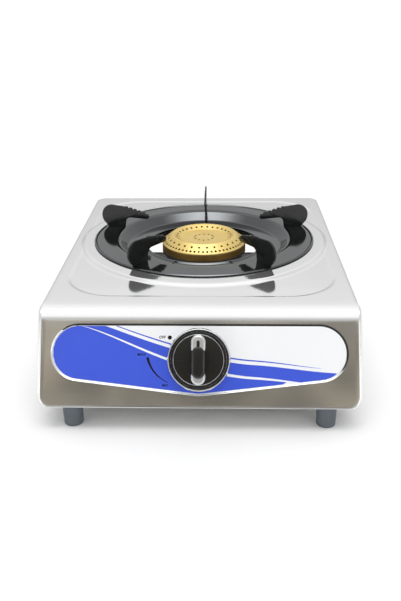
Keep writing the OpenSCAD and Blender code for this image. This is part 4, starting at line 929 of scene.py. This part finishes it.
# %% Film
FILM_GAP, FILM_T, FILM_COLUMNS = 0.75, 0.4, 480
rays = [(math.cos(a), math.sin(a)) for a in (2 * math.pi * k / FILM_COLUMNS for k in range(FILM_COLUMNS))]
rim = [label_ray(300 * u, 300 * v, -FILM_GAP) for u, v in rays]
hole = [(STEM_HOLE * u, STEM_HOLE * v) for u, v in rays]
loops = [(rim, LABEL_W - FILM_T), (rim, LABEL_W), (hole, LABEL_W), (hole, LABEL_W - FILM_T)]
film = mesh_piece("label_film_cut", *stack([[(u, v, w) for u, v in line] for line, w in loops], filled=False),
                  place=front)
fit(film, label_film, "stove_frame", "label_print", "control_label")

# %% Areas of ink between two curves
INK = 0.06
FILM_INSET, PRINT_STEPS = 1.0, 160


def film_edge(u, way):
    """The lower or upper edge of the film at u; way is -1 or 1."""
    middle = LABEL_END_V * min(1, abs(u) / LABEL_END_X)
    if past_label(u, middle) > -FILM_INSET:
        return middle
    return middle + way * crossing(lambda t: past_label(u, middle + way * t) < -FILM_INSET, 0.0, 60.0)


def ink_area(lower, upper, start, end):
    """A thin solid on the film between two curves, as points and faces in the front's frame."""
    verts, faces, columns = [], [], []
    for k in range(PRINT_STEPS + 1):
        u = start + (end - start) * k / PRINT_STEPS
        low, high = max(lower(u), film_edge(u, -1)), min(upper(u), film_edge(u, 1))
        if high - low > 0.05:
            columns.append(len(verts))
            verts += [(u, v, w) for w in (LABEL_W - 0.02, LABEL_W + INK) for v in (low, high)]
    for a, b in zip(columns, columns[1:]):
        faces += [(a, a + 1, b + 1, b), (a + 2, b + 2, b + 3, a + 3), (a, b, b + 2, a + 2),
                  (a + 1, a + 3, b + 3, b + 1)]
    for a in (columns[0], columns[-1]):
        faces.append((a, a + 1, a + 3, a + 2))
    return verts, faces


def wave(u):
    return 42 - 50 * smooth(-130, 50, u) + 4 * math.sin((u + 20) / 34)


def tail(u):
    return -60 + 54 * smooth(-10, 126, u)


def white_line(u):
    return wave(u) - 7 - 5 * smooth(-100, 0, u)


def line_width(u):
    return 2.6 * max(0.0, math.sin(math.pi * min(1, max(0, (u + 110) / 225)))) ** 0.7


areas = [(lambda u: white_line(u) + line_width(u) / 2, wave, -140, 140),
         (tail, lambda u: white_line(u) - line_width(u) / 2, -140, 140),
         (lambda u: wave(u) + 3.2, lambda u: wave(u) + 3.2 + 0.55 * line_width(u), -108, 112)]
print("wave passes the knob at v", round(wave(0), 1))

# %% Print the areas and cut them clear of the knob
KNOB_CLEAR = 27.7
for number, (lower, upper, start, end) in enumerate(areas):
    area = mesh_piece(f"ink_wave_{number + 1}", *ink_area(lower, upper, start, end))
    pierce(area, blue_ink, 1, 0, KNOB_CLEAR, 10, (0, 0, 0))
    area.data.transform(Matrix.Translation(MM * knob_spot) @ front.to_3x3().to_4x4())
    fit(area, blue_ink, "stove_frame", "label_print")

# %% [markdown]
# The marks for the flame are printed in black over the wave: a dot where the valve is shut, and a
# tapering arc from the large flame to the small one, with three plain words. Blender's own font
# writes the words; as meshes they need no font file later.

# %% Black marks and words
MARK_W = LABEL_W + INK


def stamp(outline):
    """A thin solid on the film from an outline."""
    return stack([[(u, v, w) for u, v in outline] for w in (MARK_W, MARK_W + 0.04)])


def word(text, u, v, size):
    """A word centred on (u, v), as points and faces."""
    letters = bpy.data.curves.new("word", "FONT")
    letters.body, letters.size, letters.extrude, letters.offset = text, size, 0.02, 0.06
    letters.align_x, letters.align_y = "CENTER", "CENTER"
    holder = bpy.data.objects.new("word", letters)
    bpy.context.scene.collection.objects.link(holder)
    graph = bpy.context.evaluated_depsgraph_get()
    mesh = bpy.data.meshes.new_from_object(holder.evaluated_get(graph))
    made = ([(u + p.co.x, v + p.co.y, MARK_W + 0.02 + p.co.z) for p in mesh.vertices],
            [tuple(face.vertices) for face in mesh.polygons])
    bpy.data.objects.remove(holder)
    return made


dot = stamp(bow(-26.9, 20.4, 1.9, 0, 348.75, 31))
large, bulge, small = Vector((-47.4, 2.1)), Vector((-43.5, -14.0)), Vector((-28.6, -20.8))
curve = [(1 - t) ** 2 * large + 2 * t * (1 - t) * bulge + t * t * small for t in (k / 24 for k in range(25))]
sweep = []
for k, p in enumerate(curve):
    run_on = curve[min(k + 1, 24)] - curve[max(k - 1, 0)]
    across = Vector((-run_on.y, run_on.x)).normalized() * (1.15 - 0.95 * k / 24)
    sweep.append((p + across, p - across))
arc_mark = stamp([tuple(a) for a, b in sweep] + [tuple(b) for a, b in reversed(sweep)])
marks = mesh_piece("flame_marks", *together(dot, arc_mark, word("OFF", -33.6, 20.6, 3.6),
                                            word("MAX", -52.8, 4.6, 3.6), word("MIN", -31.0, -23.6, 3.0)),
                   place=front)
fit(marks, black_ink, "stove_frame", "label_print")

# %% [markdown]
# ## Feet and screws
# Each foot is a moulded rubber cup with a recess for its screw. The screws that show from below
# are pan heads with a crossed slot and a rolled thread. One foot and one screw are made, and the
# copying tree sets them where the CAD has them.

# %% Feet
foot_nodes = [f"foot_{end}_{side}" for end in ("front", "back") for side in ("left", "right")]
foot_boxes = [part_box(node) for node in foot_nodes]
foot_spots = [(500 * (a.x + b.x), 500 * (a.y + b.y)) for a, b in foot_boxes]
FOOT_H = 1000 * foot_boxes[0][1].z
section = soften([(3.8, 0), (9.0, 0), (9.8, FOOT_H), (2.2, FOOT_H), (2.2, 8), (3.8, 8)],
                 [0.5, 1.4, 0.6, 0.2, 0.2, 0.4])
foot = mesh_piece("foot_model", *lathe(section, 48))
feet = repeat("rubber_feet", foot, [(x, y, 0) for x, y in foot_spots], foot_rubber)
fit(feet, foot_rubber, "stove_frame", "rubber_grey", *foot_nodes)

# %% A pan-head screw with a crossed slot
SCREW_R, PITCH = 2.0, 0.8


def screw_model(head_r, head_h, length):
    """A screw that stands on its head, which is below, with its thread upwards."""
    bulge = [(0, 0), (0.45, 0.06), (0.8, 0.3), (0.97, 0.65), (1, 0.85), (1, 1)]
    profile = [(r * head_r, z * head_h) for r, z in bulge] + [(SCREW_R, head_h)]
    turns = int((length - head_h - 0.8) / PITCH)
    for k in range(turns):
        z = head_h + 0.3 + PITCH * k
        profile += [(SCREW_R - 0.3, z), (SCREW_R, z + PITCH / 2)]
    profile += [(SCREW_R - 0.6, length), (0, length)]
    piece = mesh_piece("screw_model", *lathe(profile, 20, closed=False))
    a, b = 0.4, 0.62 * head_r
    quarter = [(a, b), (-a, b), (-a, a)]
    cross = quarter + [(-y, x) for x, y in quarter] + [(-x, -y) for x, y in quarter]
    cross += [(y, -x) for x, y in quarter]
    cutter = mesh_piece("cutter", *stack([[(x, y, z) for x, y in cross] for z in (-1, 0.55 * head_h)]))
    slot = piece.modifiers.new("slot", "BOOLEAN")
    slot.object, slot.operation, slot.solver = cutter, "DIFFERENCE", "EXACT"
    settle(piece, 35)
    bpy.data.objects.remove(cutter)
    return piece


def screws(name, node, spots):
    """Screws at spots, as long and as wide in the head as the CAD's."""
    low, high = (1000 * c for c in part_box(node))
    head_r = min(high.y - low.y, 2 * (high.y - max(y for x, y in spots))) / 2
    model = screw_model(head_r, 2.4, high.z - low.z)
    piece = repeat(name, model, [(x, y, low.z) for x, y in spots], zinc, 0.3, 0.7)
    fit(piece, zinc, "stove_frame", "zinc_steel", node)


screws("foot_screws_cross", "foot_screws", foot_spots)
for node in ("rail_screws", "burner_screws"):
    low, high = (1000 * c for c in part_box(node))
    reach = high.x - (high.y - low.y) / 2
    screws(node + "_cross", node, [(-reach, burner_y), (reach, burner_y)])

# %% [markdown]
# ## The pieces inside
# The valve, pipe, burner bowl and igniter are the CAD solids as they are. They show only from
# below, from behind, or when the dish is lifted, but each gets the finish of its real material.

# %% Finishes for the CAD solids that stay
wire_steel = moulded("drawn_steel_wire", "#9EA1A4", "#8B8E92", 0.004, 0.0008, 0.00003, 0.25, Metallic=1.0)
stays = {valve_brass: ["valve_body", "valve_plug", "injector", "pipe_nut", "hose_nozzle", "nozzle_nut"],
         zinc: ["valve_bonnet", "valve_screws", "gas_pipe", "electrode_bracket", "electrode_screw",
                "air_shutter", "burner_rail", "foot_nuts"],
         wire_steel: ["valve_stem", "stem_spring", "spark_electrode"],
         igniter_resin: ["piezo_igniter"], glazed_ceramic: ["electrode_sleeve"], cast_iron: ["burner_body"]}
for finish, names in stays.items():
    for name in names:
        for slot in frame["nodes"][name].material_slots:
            slot.material = finish
print("CAD solids kept:", sum(len(names) for names in stays.values()))

# %% [markdown]
# ## Floor and light
# Polished steel is only as good as what it mirrors. A studio for it is a white room with a pale
# strip of ceiling, one softbox overhead, a little in front, and a dark zone behind the camera,
# which makes the leaning front read as darker metal. All of it is one world: a colour ramp for
# the middle and one for the sides, on the angle from the back, over the top, to the front, and
# one soft panel. A real room is never even, so noise makes patches in the dark zone, and it
# grows lighter to both sides. The floor is plain white.

# %% The room as a ramp of light
world = bpy.data.worlds.new("studio_room")
bpy.context.scene.world = world
world.use_nodes = True
tree = world.node_tree
tree.nodes.clear()
ray = add(tree, "ShaderNodeTexCoord").outputs["Generated"]
parts = add(tree, "ShaderNodeSeparateXYZ", {0: ray}).outputs
over = add(tree, "ShaderNodeMath", {0: parts["Z"], 1: parts["Y"]}, operation="ARCTAN2").outputs[0]
share = add(tree, "ShaderNodeMath", {0: over, 1: math.pi}, operation="DIVIDE").outputs[0]


def zones(stops):
    """A ramp over the room, from the back horizon at 0 over the top to the front horizon at 1."""
    ramp = add(tree, "ShaderNodeValToRGB", {"Fac": share})
    for number, (at, *colour) in enumerate(stops):
        stop = ramp.color_ramp.elements[number] if number < 2 else ramp.color_ramp.elements.new(at)
        stop.position, stop.color = at, (*(colour if len(colour) == 3 else colour * 3), 1)
    return ramp.outputs["Color"]


middle = zones([(0.0, 0.50), (0.05, 0.58), (0.093, 0.70), (0.12, 0.81), (0.134, 0.87), (0.18, 0.89),
                (0.276, 0.94), (0.337, 1.02), (0.39, 1.08), (0.45, 1.13), (0.70, 1.14), (0.72, 1.06),
                (0.75, 0.84), (0.783, 0.64), (0.815, 0.51, 0.50, 0.48), (0.829, 0.28, 0.25, 0.20),
                (0.85, 0.195, 0.165, 0.118), (0.87, 0.215, 0.187, 0.142), (0.90, 0.25), (0.94, 0.5),
                (0.97, 0.9)])
sides = zones([(0.0, 0.62), (0.134, 0.80), (0.20, 0.85), (0.30, 0.80), (0.70, 0.74), (0.80, 0.76),
               (0.90, 0.90)])
beside = add(tree, "ShaderNodeMath", {0: parts["X"]}, operation="ABSOLUTE").outputs[0]
width = add(tree, "ShaderNodeMapRange", {"Value": beside, "From Min": 0.50, "From Max": 0.36},
            interpolation_type="SMOOTHSTEP").outputs[0]
walls = add(tree, "ShaderNodeMix", {0: width, 6: sides, 7: middle}, data_type="RGBA").outputs[2]
things = add(tree, "ShaderNodeTexNoise", {"Vector": ray, "Scale": 13.0, "Detail": 1.5, "Distortion": 1.0})
shade = add(tree, "ShaderNodeMapRange", {"Value": things.outputs["Fac"], "From Min": 0.41, "From Max": 0.59,
                                         "To Min": 0.45, "To Max": 1.55}).outputs[0]
fade = add(tree, "ShaderNodeMapRange", {"Value": beside, "From Min": 0.05, "From Max": 0.24, "To Min": 0.85,
                                        "To Max": 1.35}).outputs[0]
shade = add(tree, "ShaderNodeMath", {0: shade, 1: fade}, operation="MULTIPLY").outputs[0]
low_front = add(tree, "ShaderNodeMapRange", {"Value": share, "From Min": 0.80, "From Max": 0.84}).outputs[0]
uneven = add(tree, "ShaderNodeMix", {0: low_front, 2: 1.0, 3: shade}).outputs[0]
walls = add(tree, "ShaderNodeVectorMath", {0: walls, "Scale": uneven}, operation="SCALE").outputs[0]
LAMP_FROM, LAMP_TO, LAMP_EDGE, LAMP_HALF, LAMP_LIGHT = 0.5, 0.63, 0.02, 0.65, 3.6
near, far = (add(tree, "ShaderNodeMapRange", {"Value": share, "From Min": edge, "From Max": edge + fade_way})
             for edge, fade_way in ((LAMP_FROM, LAMP_EDGE), (LAMP_TO, -LAMP_EDGE)))
across = add(tree, "ShaderNodeMapRange", {"Value": beside, "From Min": LAMP_HALF, "From Max": 0.05,
                                          "To Max": LAMP_LIGHT}, interpolation_type="SMOOTHSTEP")
band = add(tree, "ShaderNodeMath", {0: near.outputs[0], 1: far.outputs[0]}, operation="MULTIPLY").outputs[0]
lamp = add(tree, "ShaderNodeMath", {0: band, 1: across.outputs[0]}, operation="MULTIPLY").outputs[0]
light = add(tree, "ShaderNodeVectorMath", {0: walls, 1: lamp}, operation="ADD").outputs[0]
room = add(tree, "ShaderNodeBackground", {"Color": light, "Strength": 1.0})
add(tree, "ShaderNodeOutputWorld", {"Surface": room.outputs[0]})

# %% Floor and view settings
floor_finish, tree, shader, place = new_finish("studio_paper_white", Roughness=0.9)
fibre = add(tree, "ShaderNodeTexNoise", {"Vector": place, "Scale": 1 / 0.5, "Detail": 2.0})
tone = add(tree, "ShaderNodeMix", {0: fibre.outputs["Fac"], 6: paint("#FBFBFB"), 7: paint("#F7F7F7")},
           data_type="RGBA")
tree.links.new(tone.outputs[2], shader.inputs["Base Color"])
FLOOR = 40000.0
floor = mesh_piece("floor", [(-FLOOR, -FLOOR, 0), (FLOOR, -FLOOR, 0), (FLOOR, FLOOR, 0), (-FLOOR, FLOOR, 0)],
                   [(0, 1, 2, 3)])
floor.data.materials.append(floor_finish)
floor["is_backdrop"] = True
bpy.context.scene.view_settings.view_transform = "Standard"
print("floor is", 2 * FLOOR * MM, "m wide")

# %% [markdown]
# ## Last measures
# Dressing must not change the object's size, so the size of the dressed model's box is printed.

# %% Print the dressed box
low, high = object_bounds()
print("dressed box in mm:", [round(1000 * (b - a), 1) for a, b in zip(low, high)])
